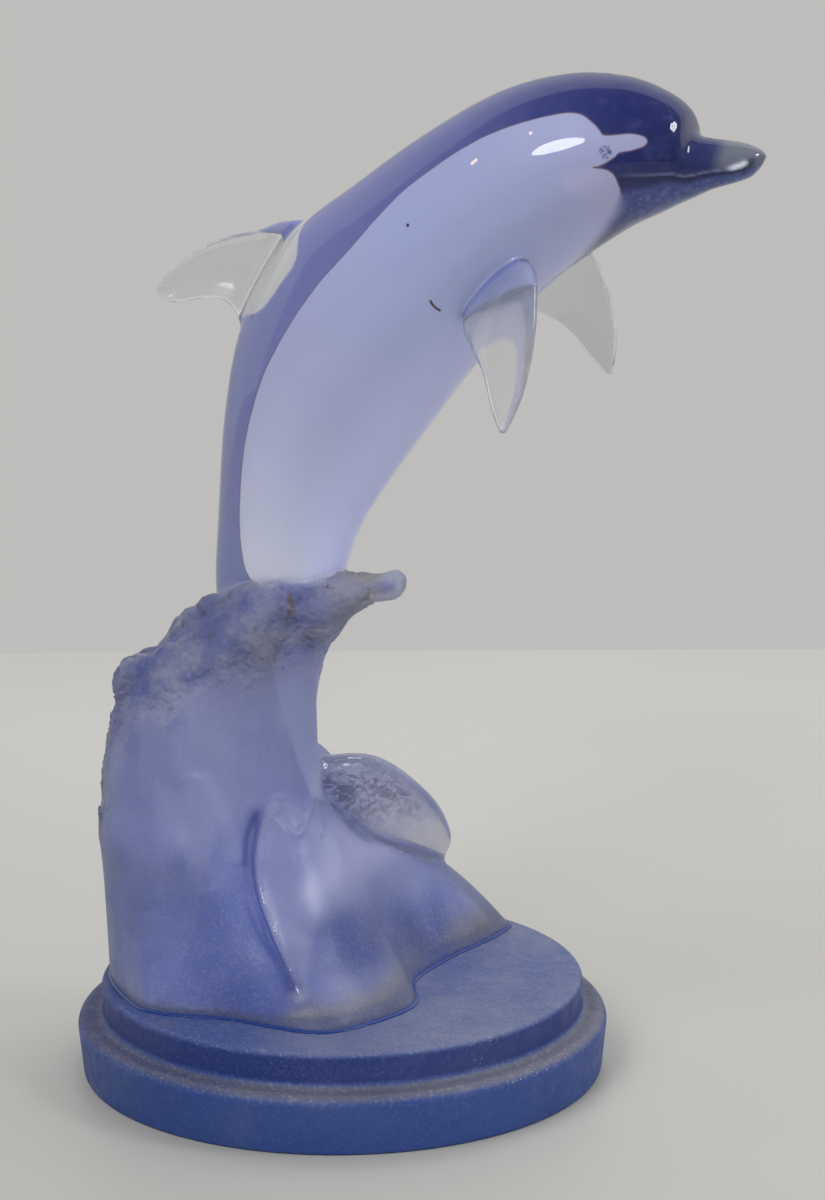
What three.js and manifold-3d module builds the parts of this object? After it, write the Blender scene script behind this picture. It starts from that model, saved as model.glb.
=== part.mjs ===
// A leaping dolphin cast in clear resin, rising from a breaking wave on a stepped round plinth.
// Millimetres, +Z up. The origin is the middle of the plinth's underside, +X is the way the
// dolphin faces, and the dolphin's own middle plane is y = 0.
import * as THREE from "three";
import { mergeVertices } from "three/addons/utils/BufferGeometryUtils.js";
import Module from "manifold-3d";

const wasm = await Module();
wasm.setup();

// Driving sizes of the plinth.
const PLINTH_DIAMETER = 244;
const LOWER_TIER_DRAFT = 2;
const LOWER_TIER_HEIGHT = 27;
const UPPER_TIER_HEIGHT = 15.9;
const STEP_WIDTH = 11.2;
const LOWER_TIER_ROUNDING = 5;
const UPPER_TIER_ROUNDING = 3;
const STEP_COVE = 3.5;
const UNDERSIDE_ROUNDING = 1.5;

// Driving sizes of the casting.
const FIGURE_HEIGHT = 415;
const GLUE_GAP = 0.3;
const MOUTH_GROOVE_WIDTH = 2;
const MOUTH_GROOVE_DEPTH = 1.2;
const BLOWHOLE_DIAMETER = 5;
const CREST_ROUGHNESS = 3;

// How finely the round forms are faceted.
const PLINTH_SIDES = 64;
const ROUNDING_STEPS = 3;
const BODY_RINGS = 36;
const BODY_SIDES = 24;
const FIN_RINGS = 10;
const FIN_SIDES = 12;
const WAVE_RINGS = 27;
const WAVE_SIDES = 48;
const HORN_RINGS = 7;
const HORN_SIDES = 12;
const GROOVE_STEPS = 14;
const SKIN_STEP = 0.01;

const PLINTH_HEIGHT = LOWER_TIER_HEIGHT + UPPER_TIER_HEIGHT;

// Every point of the figure is in thousandths of its height, from the middle of its foot.
const UNIT = FIGURE_HEIGHT / 1000;

// The dolphin's body from beak tip to tail stock: the back's x and z, the belly's x and z,
// and half the width between them.
const BODY = [
  [469, 920, 463, 908, 6],
  [461, 927, 453, 898, 18],
  [442, 933, 438, 892, 25],
  [413, 936, 413, 884, 31],
  [395, 941, 396, 876, 39],
  [386, 965, 381, 869, 51],
  [361, 983, 359, 858, 65],
  [318, 997, 325, 841, 80],
  [258, 998, 273, 806, 92],
  [187, 979, 228, 769, 98],
  [108, 935, 183, 721, 99],
  [32, 882, 139, 668, 95],
  [-46, 821, 99, 614, 87],
  [-101, 732, 58, 558, 77],
  [-124, 637, 24, 504, 69],
  [-135, 522, 4, 448, 60],
  [-140, 421, -14, 378, 51],
  [-120, 330, -29, 310, 39],
  [-96, 257, -29, 248, 27],
  [-77, 204, -19, 190, 19],
];

// Each blade has its leading edge and its trailing edge from root to tip as x, y and z, and
// its half thickness. The roots lie inside what the blade grows from.
const DORSAL_FIN = {
  lead: [[20, 0, 800], [-40, 0, 834], [-85, 0, 824], [-140, 0, 809], [-186, 0, 780], [-207, 0, 755]],
  trail: [[-60, 0, 690], [-104, 0, 720], [-124, 0, 744], [-150, 0, 747], [-188, 0, 741], [-204, 0, 746]],
  thickness: [[18], [15], [12], [9], [6], [2]],
};
const PECTORAL_FIN = {
  lead: [[238, 55, 832], [258, 84, 803], [267, 111, 766], [269, 133, 728], [263, 153, 690], [247, 170, 654]],
  trail: [[165, 50, 765], [177, 84, 737], [196, 108, 717], [216, 131, 697], [233, 155, 671], [242, 170, 652]],
  thickness: [[15], [13], [11], [9], [6], [2]],
};
const FAR_FLUKE = {
  lead: [[-70, 0, 200], [-32, 10, 238], [19, 63, 233], [60, 120, 179], [73, 150, 133], [66, 164, 104]],
  trail: [[-70, 0, 100], [-23, 24, 92], [-7, 60, 88], [16, 96, 84], [42, 128, 84], [60, 160, 96]],
  thickness: [[26], [25], [22], [18], [13], [5]],
};
const NEAR_FLUKE = {
  lead: [[-60, 0, 190], [-36, -32, 172], [-50, -67, 203], [-57, -104, 158], [-36, -132, 115], [21, -180, 30]],
  trail: [[-50, 0, 100], [5, -40, 118], [24, -80, 100], [38, -115, 75], [40, -148, 45], [28, -176, 22]],
  thickness: [[22], [20], [18], [16], [12], [4]],
};

const BLADE_FULLNESS = 0.3;
const SPAN_STEP = 0.05;

// The wave's spreading foot, once round from the notch on the dolphin's belly side.
const FOOT = [
  [88, -7], [97, 76], [123, 174], [118, 226], [40, 244], [-90, 225],
  [-200, 150], [-258, 20], [-242, -90], [-178, -175], [-135, -196],
  [-60, -189], [27, -200], [68, -184], [105, -121], [113, -72],
];

// The shoulder that the foot rises to, matched point by point with the foot's outline.
const SHOULDER = [
  [34, 10, 104], [42, 76, 104], [58, 128, 98], [60, 160, 88], [14, 180, 96], [-80, 184, 98],
  [-186, 128, 98], [-271, 20, 98], [-252, -78, 98], [-200, -132, 98], [-152, -150, 98],
  [-80, -152, 98], [-16, -130, 98], [16, -114, 98], [34, -78, 100], [34, -36, 104],
];

// The wave above its shoulder: height, left and right ends, front and back.
const WAVE = [
  [160, -271, 4, -144, 136],
  [200, -269, -18, -132, 125],
  [240, -265, -30, -121, 113],
  [285, -256, -34, -110, 103],
  [342, -222, -34, -99, 94],
  [390, -168, -20, -92, 87],
  [420, -134, -10, -84, 80],
  [440, -118, -4, -74, 70],
  [456, -104, -8, -55, 53],
];
const SHOULDER_MIDDLE = -110;
const WAVE_SQUARENESS = 2.4;
const WAVE_NARROWING = 0.45;

// The crest's tip, thrown forward below the belly: middle x, y and z, half height, half width.
const HORN = [
  [-40, -10, 415, 42, 50],
  [-5, -12, 420, 40, 44],
  [17, -12, 430, 27, 30],
  [40, -12, 440, 19, 20],
  [60, -12, 446, 15, 15],
  [72, -12, 449, 13, 13],
  [80, -12, 451, 5, 5],
];

// Where the crest's roughness begins and where it is full: up its height, and out at its rear
// edge above the foot. Its ripples each have a share of it, how often they come round the wave,
// and the rise over which they turn.
const CREST_RISE = [300, 370];
const CREST_EDGE = [225, 262];
const CREST_EDGE_RISE = [120, 200];
const CREST_RIPPLES = [[0.5, 9, 23], [0.3, 17, -11], [0.3, 5, 6]];

// Rounded lumps of broken water on the wave: middle x, y and z, and reach along each.
const HUMPS = [
  [-96, 92, 174, 64, 46, 66],
  [-222, -6, 314, 34, 40, 34],
  [-158, -4, 376, 32, 40, 30],
  [-246, 4, 258, 24, 34, 34],
];

// The blowhole's share of the way along the body, and the mouth line's two ends, each with its
// share of the way and its angle up the flank.
const BLOWHOLE_PLACE = 0.37;
const MOUTH_TIP = { along: 0.02, angle: 0.1 };
const MOUTH_CORNER = { along: 0.34, angle: -0.27 };

// A Catmull-Rom curve through equally spaced rows of numbers, for t from 0 to 1.
function smooth(rows, t) {
  const place = THREE.MathUtils.clamp(t, 0, 1) * (rows.length - 1);
  const first = Math.min(Math.floor(place), rows.length - 2);
  const u = place - first;
  const row = (i) => rows[THREE.MathUtils.clamp(i, 0, rows.length - 1)];
  const [a, b, c, d] = [row(first - 1), row(first), row(first + 1), row(first + 2)];
  return b.map((value, k) => {
    const cubic = 3 * (value - c[k]) + d[k] - a[k];
    const square = 2 * a[k] - 5 * value + 4 * c[k] - d[k];
    return value + 0.5 * u * (c[k] - a[k] + u * (square + u * cubic));
  });
}

// A closed mesh through rings of equally many points, with a flat fan over each end.
function loft(rings) {
  const sides = rings[0].length;
  const positions = rings.flat().flatMap((p) => p.toArray());
  const ends = [rings[0], rings.at(-1)].map((ring) => {
    const middle = new THREE.Vector3();
    ring.forEach((p) => middle.addScaledVector(p, 1 / sides));
    positions.push(...middle.toArray());
    return positions.length / 3 - 1;
  });
  const last = (rings.length - 1) * sides;
  const index = [];
  for (let k = 0; k < sides; k++) {
    const next = (k + 1) % sides;
    for (let r = 0; r < last; r += sides) {
      index.push(r + k, r + next, r + sides + next, r + k, r + sides + next, r + sides + k);
    }
    index.push(ends[0], next, k, ends[1], last + k, last + next);
  }
  const geometry = new THREE.BufferGeometry();
  geometry.setAttribute("position", new THREE.Float32BufferAttribute(positions, 3));
  geometry.setIndex(index);
  return geometry;
}

// A closed geometry as a solid with its faces pointing out.
function solid(geometry) {
  const bare = geometry.clone();
  bare.deleteAttribute("normal");
  bare.deleteAttribute("uv");
  const merged = mergeVertices(bare, 1e-4);
  const vertProperties = merged.attributes.position.array;
  const triVerts = new Uint32Array(merged.index.array);
  const made = new wasm.Manifold(new wasm.Mesh({ numProp: 3, vertProperties, triVerts }));
  if (made.volume() > 0) return made;
  for (let i = 0; i < triVerts.length; i += 3) {
    [triVerts[i + 1], triVerts[i + 2]] = [triVerts[i + 2], triVerts[i + 1]];
  }
  return new wasm.Manifold(new wasm.Mesh({ numProp: 3, vertProperties, triVerts }));
}

// A solid as a geometry that three.js can draw.
function geometryOf(made) {
  const mesh = made.getMesh();
  const geometry = new THREE.BufferGeometry();
  const corners = Float32Array.from(mesh.vertProperties);
  geometry.setAttribute("position", new THREE.BufferAttribute(corners, 3));
  geometry.setIndex(Array.from(mesh.triVerts));
  geometry.computeVertexNormals();
  return geometry;
}

// A point of the figure in millimetres above the plinth.
function point(x, y, z) {
  return new THREE.Vector3(x * UNIT, y * UNIT, z * UNIT + PLINTH_HEIGHT + GLUE_GAP);
}

// The body's skin at t along it, with the angle running from one flank over the back.
function bodySkin(t, angle) {
  const [backX, backZ, bellyX, bellyZ, halfWidth] = smooth(BODY, t);
  const middle = new THREE.Vector3((backX + bellyX) / 2, 0, (backZ + bellyZ) / 2);
  const toBack = new THREE.Vector3(backX, 0, backZ).sub(middle);
  const place = middle.addScaledVector(toBack, Math.sin(angle));
  return point(place.x, halfWidth * Math.cos(angle), place.z);
}

function body() {
  const rings = [];
  for (let r = 0; r < BODY_RINGS; r++) {
    const t = r / (BODY_RINGS - 1);
    const ring = [];
    for (let k = 0; k < BODY_SIDES; k++) ring.push(bodySkin(t, (k / BODY_SIDES) * 2 * Math.PI));
    rings.push(ring);
  }
  return solid(loft(rings));
}

// A fin or fluke: leaf-shaped sections between its two edges, thickest ahead of the middle.
function blade({ lead, trail, thickness }, side = 1) {
  const leadAt = (t) => new THREE.Vector3(...smooth(lead, t));
  const trailAt = (t) => new THREE.Vector3(...smooth(trail, t));
  const middleOf = (t) => leadAt(t).lerp(trailAt(t), 0.5);
  const rings = [];
  for (let r = 0; r < FIN_RINGS; r++) {
    const t = r / (FIN_RINGS - 1);
    const from = leadAt(t);
    const chord = trailAt(t).sub(from);
    const span = middleOf(t + SPAN_STEP).sub(middleOf(t - SPAN_STEP));
    const across = new THREE.Vector3().crossVectors(chord, span).normalize();
    const [half] = smooth(thickness, t);
    const ring = [];
    for (let k = 0; k < FIN_SIDES; k++) {
      const angle = (k / FIN_SIDES) * 2 * Math.PI;
      const along = (1 - Math.cos(angle)) / 2;
      const lift = half * Math.sin(angle) * (1 + BLADE_FULLNESS * Math.cos(angle));
      const place = from.clone().addScaledVector(chord, along).addScaledVector(across, lift);
      ring.push(point(place.x, place.y * side, place.z));
    }
    rings.push(ring);
  }
  return solid(loft(rings));
}

// The chipped crest's lumps, in figure units, for a place on the wave. They cover its top and
// its outer edge, and fade out on the smooth face below.
function lumps(angle, x, z) {
  const { smoothstep } = THREE.MathUtils;
  const high = smoothstep(z, ...CREST_RISE);
  const edge = smoothstep(-x, ...CREST_EDGE) * smoothstep(z, ...CREST_EDGE_RISE);
  const ripples = CREST_RIPPLES.map(([share, turns, rise]) => share * Math.sin(turns * angle + z / rise));
  return (CREST_ROUGHNESS / UNIT) * Math.max(high, edge) * ripples.reduce((sum, r) => sum + r);
}

// One level section of the wave, a rounded oblong that narrows toward the dolphin's belly side,
// with a point in each of the directions.
function levelSection([z, left, right, front, back], directions) {
  const middleX = (left + right) / 2;
  return directions.map((direction) => {
    const narrowed = 1 - WAVE_NARROWING * Math.max(Math.cos(direction), 0) ** 1.5;
    const alongX = Math.abs(Math.cos(direction)) / ((right - left) / 2);
    const alongY = Math.abs(Math.sin(direction)) / (narrowed * (direction > 0 ? back : -front));
    const reach = (alongX ** WAVE_SQUARENESS + alongY ** WAVE_SQUARENESS) ** (-1 / WAVE_SQUARENESS);
    return [middleX + reach * Math.cos(direction), reach * Math.sin(direction), z];
  });
}

// A smooth closed outline, through as many points as the wave has sides.
function outlineSection(corners) {
  const places = corners.map(([x, y, z = 0]) => new THREE.Vector3(x, y, z));
  const outline = new THREE.CatmullRomCurve3(places, true, "catmullrom", 0.5);
  return outline.getPoints(WAVE_SIDES).slice(0, WAVE_SIDES).map((p) => p.toArray());
}

function wave() {
  const shoulder = outlineSection(SHOULDER);
  const directions = shoulder.map(([x, y]) => Math.atan2(y, x - SHOULDER_MIDDLE));
  const upper = WAVE.map((row) => levelSection(row, directions));
  const sections = [outlineSection(FOOT), shoulder, ...upper];
  const rings = [];
  for (let r = 0; r < WAVE_RINGS; r++) {
    const t = r / (WAVE_RINGS - 1);
    const ring = sections[0].map((_, k) => new THREE.Vector3(...smooth(sections.map((s) => s[k]), t)));
    rings.push(ring.map((p, k) => {
      const out = new THREE.Vector3(Math.cos(directions[k]), Math.sin(directions[k]), 0);
      const lumpy = p.addScaledVector(out, lumps(directions[k], p.x, p.z));
      return point(lumpy.x, lumpy.y, lumpy.z);
    }));
  }
  return solid(loft(rings));
}

function horn() {
  const rings = [];
  for (let r = 0; r < HORN_RINGS; r++) {
    const [x, y, z, halfHeight, halfWidth] = HORN[r];
    const ring = [];
    for (let k = 0; k < HORN_SIDES; k++) {
      const angle = (k / HORN_SIDES) * 2 * Math.PI;
      ring.push(point(x, y + halfWidth * Math.cos(angle), z + halfHeight * Math.sin(angle)));
    }
    rings.push(ring);
  }
  return solid(loft(rings));
}

function hump([x, y, z, reachX, reachY, reachZ]) {
  const ball = new THREE.IcosahedronGeometry(UNIT, 2);
  ball.scale(reachX, reachY, reachZ);
  const middle = point(x, y, z);
  ball.translate(middle.x, middle.y, middle.z);
  return solid(ball);
}

// The mouth line: a groove of square section, turned on edge, that follows the skin.
function mouthGroove(side) {
  const rings = [];
  for (let r = 0; r < GROOVE_STEPS; r++) {
    const share = r / (GROOVE_STEPS - 1);
    const t = THREE.MathUtils.lerp(MOUTH_TIP.along, MOUTH_CORNER.along, share);
    const angle = THREE.MathUtils.lerp(MOUTH_TIP.angle, MOUTH_CORNER.angle, share);
    const on = bodySkin(t, angle);
    const up = bodySkin(t, angle + SKIN_STEP).sub(on).normalize();
    const along = bodySkin(t + SKIN_STEP, angle).sub(on).normalize();
    const out = new THREE.Vector3().crossVectors(up, along).normalize();
    if (out.y < 0) out.negate();
    const corners = [
      on.clone().addScaledVector(out, MOUTH_GROOVE_DEPTH),
      on.clone().addScaledVector(up, MOUTH_GROOVE_WIDTH / 2),
      on.clone().addScaledVector(out, -MOUTH_GROOVE_DEPTH),
      on.clone().addScaledVector(up, -MOUTH_GROOVE_WIDTH / 2),
    ];
    rings.push(corners.map((p) => new THREE.Vector3(p.x, p.y * side, p.z)));
  }
  return solid(loft(rings));
}

function blowhole() {
  const dimple = new THREE.IcosahedronGeometry(BLOWHOLE_DIAMETER / 2, 1);
  const top = bodySkin(BLOWHOLE_PLACE, Math.PI / 2);
  dimple.translate(top.x, top.y, top.z + BLOWHOLE_DIAMETER / 4);
  return solid(dimple);
}

function dolphinAndWave() {
  const cast = [
    body(),
    blade(DORSAL_FIN),
    blade(PECTORAL_FIN, 1),
    blade(PECTORAL_FIN, -1),
    blade(FAR_FLUKE),
    blade(NEAR_FLUKE),
    wave(),
    horn(),
    ...HUMPS.map(hump),
  ];
  let joined = cast.reduce((all, next) => all.add(next));
  joined = joined.subtract(mouthGroove(1)).subtract(mouthGroove(-1)).subtract(blowhole());
  return geometryOf(joined);
}

// A rounded or hollow corner of a lathe profile, as a quarter circle about a middle.
function quarter(middleX, middleY, radius, fromDegrees, toDegrees) {
  const points = [];
  for (let i = 0; i <= ROUNDING_STEPS; i++) {
    const turned = THREE.MathUtils.lerp(fromDegrees, toDegrees, i / ROUNDING_STEPS);
    const angle = THREE.MathUtils.degToRad(turned);
    points.push(new THREE.Vector2(middleX + radius * Math.cos(angle), middleY + radius * Math.sin(angle)));
  }
  return points;
}

function roundBase() {
  const outer = PLINTH_DIAMETER / 2;
  const foot = outer - LOWER_TIER_DRAFT;
  const inner = outer - STEP_WIDTH;
  const [under, lower, upper] = [UNDERSIDE_ROUNDING, LOWER_TIER_ROUNDING, UPPER_TIER_ROUNDING];
  const profile = [
    new THREE.Vector2(0, 0),
    ...quarter(foot - under, under, under, -90, 0),
    ...quarter(outer - lower, LOWER_TIER_HEIGHT - lower, lower, 0, 90),
    ...quarter(inner + STEP_COVE, LOWER_TIER_HEIGHT + STEP_COVE, STEP_COVE, -90, -180),
    ...quarter(inner - upper, PLINTH_HEIGHT - upper, upper, 0, 90),
    new THREE.Vector2(0, PLINTH_HEIGHT),
  ];
  const turned = new THREE.LatheGeometry(profile, PLINTH_SIDES);
  turned.rotateX(Math.PI / 2);
  return geometryOf(solid(turned));
}

const clearResin = new THREE.MeshStandardMaterial({ color: 0x9a9fce, roughness: 0.12 });
const satinBlueResin = new THREE.MeshStandardMaterial({ color: 0x3f5590, roughness: 0.6 });

const statue = new THREE.Group();
const casting = new THREE.Mesh(dolphinAndWave(), clearResin);
casting.name = "dolphin_and_wave";
const base = new THREE.Mesh(roundBase(), satinBlueResin);
base.name = "round_base";
statue.add(casting, base);

export default statue;
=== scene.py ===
# A leaping dolphin cast in clear resin over coloured resin, rising from a frosted breaking wave on
# a satin blue stepped plinth. Metres, +Z up, +X the way the dolphin faces.
import math

import bpy
import numpy as np
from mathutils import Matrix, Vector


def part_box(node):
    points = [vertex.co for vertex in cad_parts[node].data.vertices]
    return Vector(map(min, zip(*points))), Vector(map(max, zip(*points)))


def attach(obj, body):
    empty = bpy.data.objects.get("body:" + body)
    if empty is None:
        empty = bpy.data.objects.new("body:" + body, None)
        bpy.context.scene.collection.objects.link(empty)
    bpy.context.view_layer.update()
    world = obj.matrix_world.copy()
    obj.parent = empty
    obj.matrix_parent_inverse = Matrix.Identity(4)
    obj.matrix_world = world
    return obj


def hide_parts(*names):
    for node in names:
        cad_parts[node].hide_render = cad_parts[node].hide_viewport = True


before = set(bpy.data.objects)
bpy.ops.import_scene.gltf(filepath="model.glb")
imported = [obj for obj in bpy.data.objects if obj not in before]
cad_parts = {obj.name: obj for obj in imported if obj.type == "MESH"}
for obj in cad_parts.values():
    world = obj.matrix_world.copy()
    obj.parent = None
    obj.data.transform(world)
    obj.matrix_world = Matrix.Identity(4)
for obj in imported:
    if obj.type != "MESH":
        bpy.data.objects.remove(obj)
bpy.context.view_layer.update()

import openvdb as vdb
from mathutils import Matrix, Vector, kdtree, noise

MM = 0.001

# The plinth's tiers, from the frame and in millimetres.
PLINTH_LOW, PLINTH_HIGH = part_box("round_base")
PLINTH_DIAMETER = (PLINTH_HIGH[0] - PLINTH_LOW[0]) / MM
PLINTH_HEIGHT = PLINTH_HIGH[2] / MM
LOWER_TIER_DRAFT = 2
LOWER_TIER_HEIGHT = 27
STEP_WIDTH = 11.2
LOWER_TIER_ROUNDING = 5
UPPER_TIER_ROUNDING = 3
STEP_COVE = 3.5
UNDERSIDE_ROUNDING = 1.5

# The casting stands on its foot. Every point of the figure is in thousandths of its height, from
# the middle of its foot.
FOOT_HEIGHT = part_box("dolphin_and_wave")[0][2]
FIGURE_HEIGHT = 415 * MM
UNIT = FIGURE_HEIGHT / 1000
GLUE_GAP = 0.3 * MM

# The glue line's section: how far out from the foot and how high, in millimetres.
GLUE_SECTION = [(0.2, 0.0), (0.9, 0.1), (0.8, 0.45), (0.0, 0.9)]

# The dolphin's body from beak tip to tail stock: the back's x and z, the belly's x and z, and
# half the width between them.
BODY = [
    [469, 920, 463, 908, 6],
    [461, 927, 453, 898, 18],
    [442, 933, 438, 892, 25],
    [413, 936, 413, 884, 31],
    [395, 941, 396, 876, 39],
    [386, 965, 381, 869, 51],
    [361, 983, 359, 858, 65],
    [318, 997, 325, 841, 80],
    [258, 998, 273, 806, 92],
    [187, 979, 228, 769, 98],
    [108, 935, 183, 721, 99],
    [32, 882, 139, 668, 95],
    [-46, 821, 99, 614, 87],
    [-101, 732, 58, 558, 77],
    [-124, 637, 24, 504, 69],
    [-135, 522, 4, 448, 60],
    [-140, 421, -14, 378, 51],
    [-120, 330, -29, 310, 39],
    [-96, 257, -29, 248, 27],
    [-77, 204, -19, 190, 19],
]

# Each blade has its leading edge and its trailing edge from root to tip as x, y and z, and its
# half thickness. The roots lie inside what the blade grows from.
DORSAL_FIN = {
    "lead": [[20, 0, 800], [-40, 0, 834], [-85, 0, 824], [-140, 0, 809], [-186, 0, 780], [-207, 0, 755]],
    "trail": [[-60, 0, 690], [-104, 0, 720], [-124, 0, 744], [-150, 0, 747], [-188, 0, 741], [-204, 0, 746]],
    "thickness": [18, 15, 12, 9, 6, 2],
}
PECTORAL_FIN = {
    "lead": [[224, 61, 812], [252, 93, 809], [263, 119, 772], [267, 144, 732], [263, 166, 690],
             [253, 184, 658]],
    "trail": [[165, 50, 763], [176, 91, 740], [195, 122, 726], [215, 146, 706], [232, 171, 675],
              [245, 186, 656]],
    "thickness": [14, 12, 10, 8.5, 7, 4.5],
}
FAR_FLUKE = {
    "lead": [[-70, 0, 200], [-32, 10, 238], [19, 63, 233], [60, 120, 179], [73, 150, 133], [66, 164, 104]],
    "trail": [[-70, 0, 100], [-23, 24, 92], [-7, 60, 88], [16, 96, 84], [42, 128, 84], [60, 160, 96]],
    "thickness": [26, 25, 22, 18, 13, 5],
}
NEAR_FLUKE = {
    "lead": [[-60, 0, 190], [-36, -32, 172], [-50, -67, 203], [-57, -104, 158], [-36, -132, 115],
             [21, -180, 30]],
    "trail": [[-50, 0, 100], [2, -28, 112], [18, -62, 94], [30, -96, 70], [33, -132, 42], [26, -170, 20]],
    "thickness": [22, 20, 18, 16, 12, 4],
}
BLADE_FULLNESS = 0.15
EDGE_RADIUS = 1.2 * MM
SPAN_STEP = 0.05

# The wave's spreading foot, once round from the notch on the dolphin's belly side.
FOOT = [
    [88, -7], [97, 76], [123, 174], [118, 226], [40, 244], [-90, 225],
    [-200, 150], [-258, 20], [-242, -90], [-178, -175], [-135, -196],
    [-60, -189], [27, -200], [68, -184], [105, -121], [113, -72],
]

# The shoulder that the foot rises to, matched point by point with the foot's outline.
SHOULDER = [
    [34, 10, 104], [42, 76, 104], [58, 128, 98], [60, 160, 88], [14, 180, 96], [-80, 184, 98],
    [-186, 128, 98], [-271, 20, 98], [-252, -78, 98], [-200, -132, 98], [-152, -150, 98],
    [-80, -152, 98], [-16, -130, 98], [16, -114, 98], [34, -78, 100], [34, -36, 104],
]

# The wave above its shoulder: height, left and right ends, front and back.
WAVE = [
    [160, -271, 4, -144, 136],
    [200, -269, -18, -132, 125],
    [240, -265, -30, -121, 113],
    [285, -256, -34, -110, 103],
    [342, -222, -34, -99, 94],
    [390, -168, -20, -92, 87],
    [420, -134, -10, -84, 80],
    [440, -118, -4, -74, 70],
    [456, -104, -8, -55, 53],
]
SHOULDER_MIDDLE = -110
FOOT_DEPTH = 60
WAVE_SQUARENESS = 2.4
WAVE_NARROWING = 0.45

# The crest's tip, thrown forward below the belly: middle x, y and z, half height, half width.
HORN = [
    [-40, -10, 415, 42, 50],
    [-5, -12, 420, 40, 44],
    [17, -12, 430, 27, 30],
    [40, -12, 440, 19, 20],
    [60, -12, 446, 17, 17],
    [72, -12, 449, 16, 16],
    [81, -12, 451, 8, 8],
]

# Rounded lumps of broken water on the wave: middle x, y and z, and reach along each.
HUMPS = [
    [-96, 92, 174, 64, 46, 66],
    [-222, -6, 314, 34, 40, 34],
    [-158, -4, 376, 32, 40, 30],
    [-246, 4, 258, 24, 34, 34],
]

# Broken ledges on the near side of the crest, which only the finer form has.
LEDGES = [
    [-147, -40, 402, 22, 20, 13],
    [-128, -46, 418, 18, 18, 12],
    [-168, -34, 386, 14, 18, 12],
    [-214, -54, 344, 20, 20, 13],
    [-232, -52, 322, 12, 18, 22],
]

# How finely the forms are drawn before they are joined, and the grid that joins them.
BODY_RINGS = 200
BODY_SIDES = 128
FIN_RINGS = 48
FIN_SIDES = 40
WAVE_RINGS = 90
WAVE_SIDES = 192
HORN_RINGS = 40
HORN_SIDES = 48
HUMP_RINGS = 32
HUMP_SIDES = 48
PLINTH_SIDES = 256
ROUNDING_POINTS = 13
VOXEL = 1.0 * MM
BAND = 11
CASTING_TRIANGLES = 190000

# How widely the forms run into each other.
FIN_FILLET = 6 * MM
FLUKE_FILLET = 7 * MM
LEAF_FILLET = 9 * MM
WAVE_FILLET = 10 * MM
CREST_FILLET = 2 * MM

# How deep the wave's blue resin lies below its skin, under the mound, and above the plinth.
CORE_DEPTH = 5 * MM
MOUND_DEPTH = 10 * MM
CORE_LIFT = 0.4 * MM


def smooth(rows, t):
    """A Catmull-Rom curve through equally spaced rows, for t from 0 to 1."""
    rows = np.asarray(rows, float)
    place = np.clip(t, 0, 1) * (len(rows) - 1)
    first = np.minimum(np.floor(place).astype(int), len(rows) - 2)
    u = (place - first).reshape(place.shape + (1,) * (rows.ndim - 1))
    a, b, c, d = (rows[np.clip(first + k, 0, len(rows) - 1)] for k in (-1, 0, 1, 2))
    cubic = 3 * (b - c) + d - a
    square = 2 * a - 5 * b + 4 * c - d
    return b + 0.5 * u * (c - a + u * (square + u * cubic))


def drawn(line, points):
    """A line as this many points of the curve through its places."""
    return smooth(line, np.linspace(0, 1, points))


def step(value, start, end):
    """0 before start, 1 after end, and smooth between them."""
    t = np.clip((value - start) / (end - start), 0, 1)
    return t * t * (3 - 2 * t)


def bell(far, width):
    """1 on a line, falling off within about this width of it."""
    return np.exp(-((far / width) ** 2))


def placed(points):
    """Points of the figure in metres, above the plinth."""
    return np.asarray(points, float) * UNIT + [0, 0, FOOT_HEIGHT]


def loft(rings):
    """Vertices, quads and triangles of a closed form through rings of equally many points."""
    count, sides = rings.shape[:2]
    k = np.arange(sides)
    following = (k + 1) % sides
    starts = np.arange(count - 1)[:, None] * sides
    quads = np.stack([starts + k, starts + following, starts + sides + following, starts + sides + k], -1)
    ends = count * sides
    last = (count - 1) * sides
    first_fan = np.stack([np.full(sides, ends), following, k], -1)
    last_fan = np.stack([np.full(sides, ends + 1), last + k, last + following], -1)
    vertices = np.vstack([rings.reshape(-1, 3), rings[0].mean(0), rings[-1].mean(0)])
    return vertices, quads.reshape(-1, 4), np.vstack([first_fan, last_fan])


def body_skin(t, angle):
    """The body's skin in figure units, the angle running from one flank over the back."""
    back_x, back_z, belly_x, belly_z, half_width = smooth(BODY, t).T[..., None]
    middle_x, middle_z = (back_x + belly_x) / 2, (back_z + belly_z) / 2
    x = middle_x + (back_x - middle_x) * np.sin(angle)
    z = middle_z + (back_z - middle_z) * np.sin(angle)
    return np.stack([x, half_width * np.cos(angle), z], -1)


def round_angles(count):
    return np.arange(count) / count * 2 * math.pi


def body():
    t = np.linspace(0, 1, BODY_RINGS)
    return loft(placed(body_skin(t, round_angles(BODY_SIDES))))


def blade(form, side=1, slimmer=0.0):
    """A fin or fluke: leaf-shaped sections between its two edges, thickest ahead of the middle."""
    t = np.linspace(0, 1, FIN_RINGS)
    middle = lambda at: (smooth(form["lead"], at) + smooth(form["trail"], at)) / 2
    lead = smooth(form["lead"], t)
    chord = smooth(form["trail"], t) - lead
    span = middle(t + SPAN_STEP) - middle(t - SPAN_STEP)
    across = np.cross(chord, span)
    across /= np.linalg.norm(across, axis=1, keepdims=True)
    half = np.maximum(smooth(np.array(form["thickness"], float)[:, None], t) - slimmer, 0.3)
    chord_length = np.linalg.norm(chord, axis=1, keepdims=True)
    lead = lead + chord * slimmer / chord_length
    chord = chord * (1 - 2 * slimmer / chord_length)
    angle = round_angles(FIN_SIDES)
    along = (1 - np.cos(angle)) / 2
    lift = half * np.sin(angle) * (1 + BLADE_FULLNESS * np.cos(angle))
    rings = lead[:, None] + chord[:, None] * along[:, None] + across[:, None] * lift[..., None]
    return loft(placed(rings * [1, side, 1]))


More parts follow.
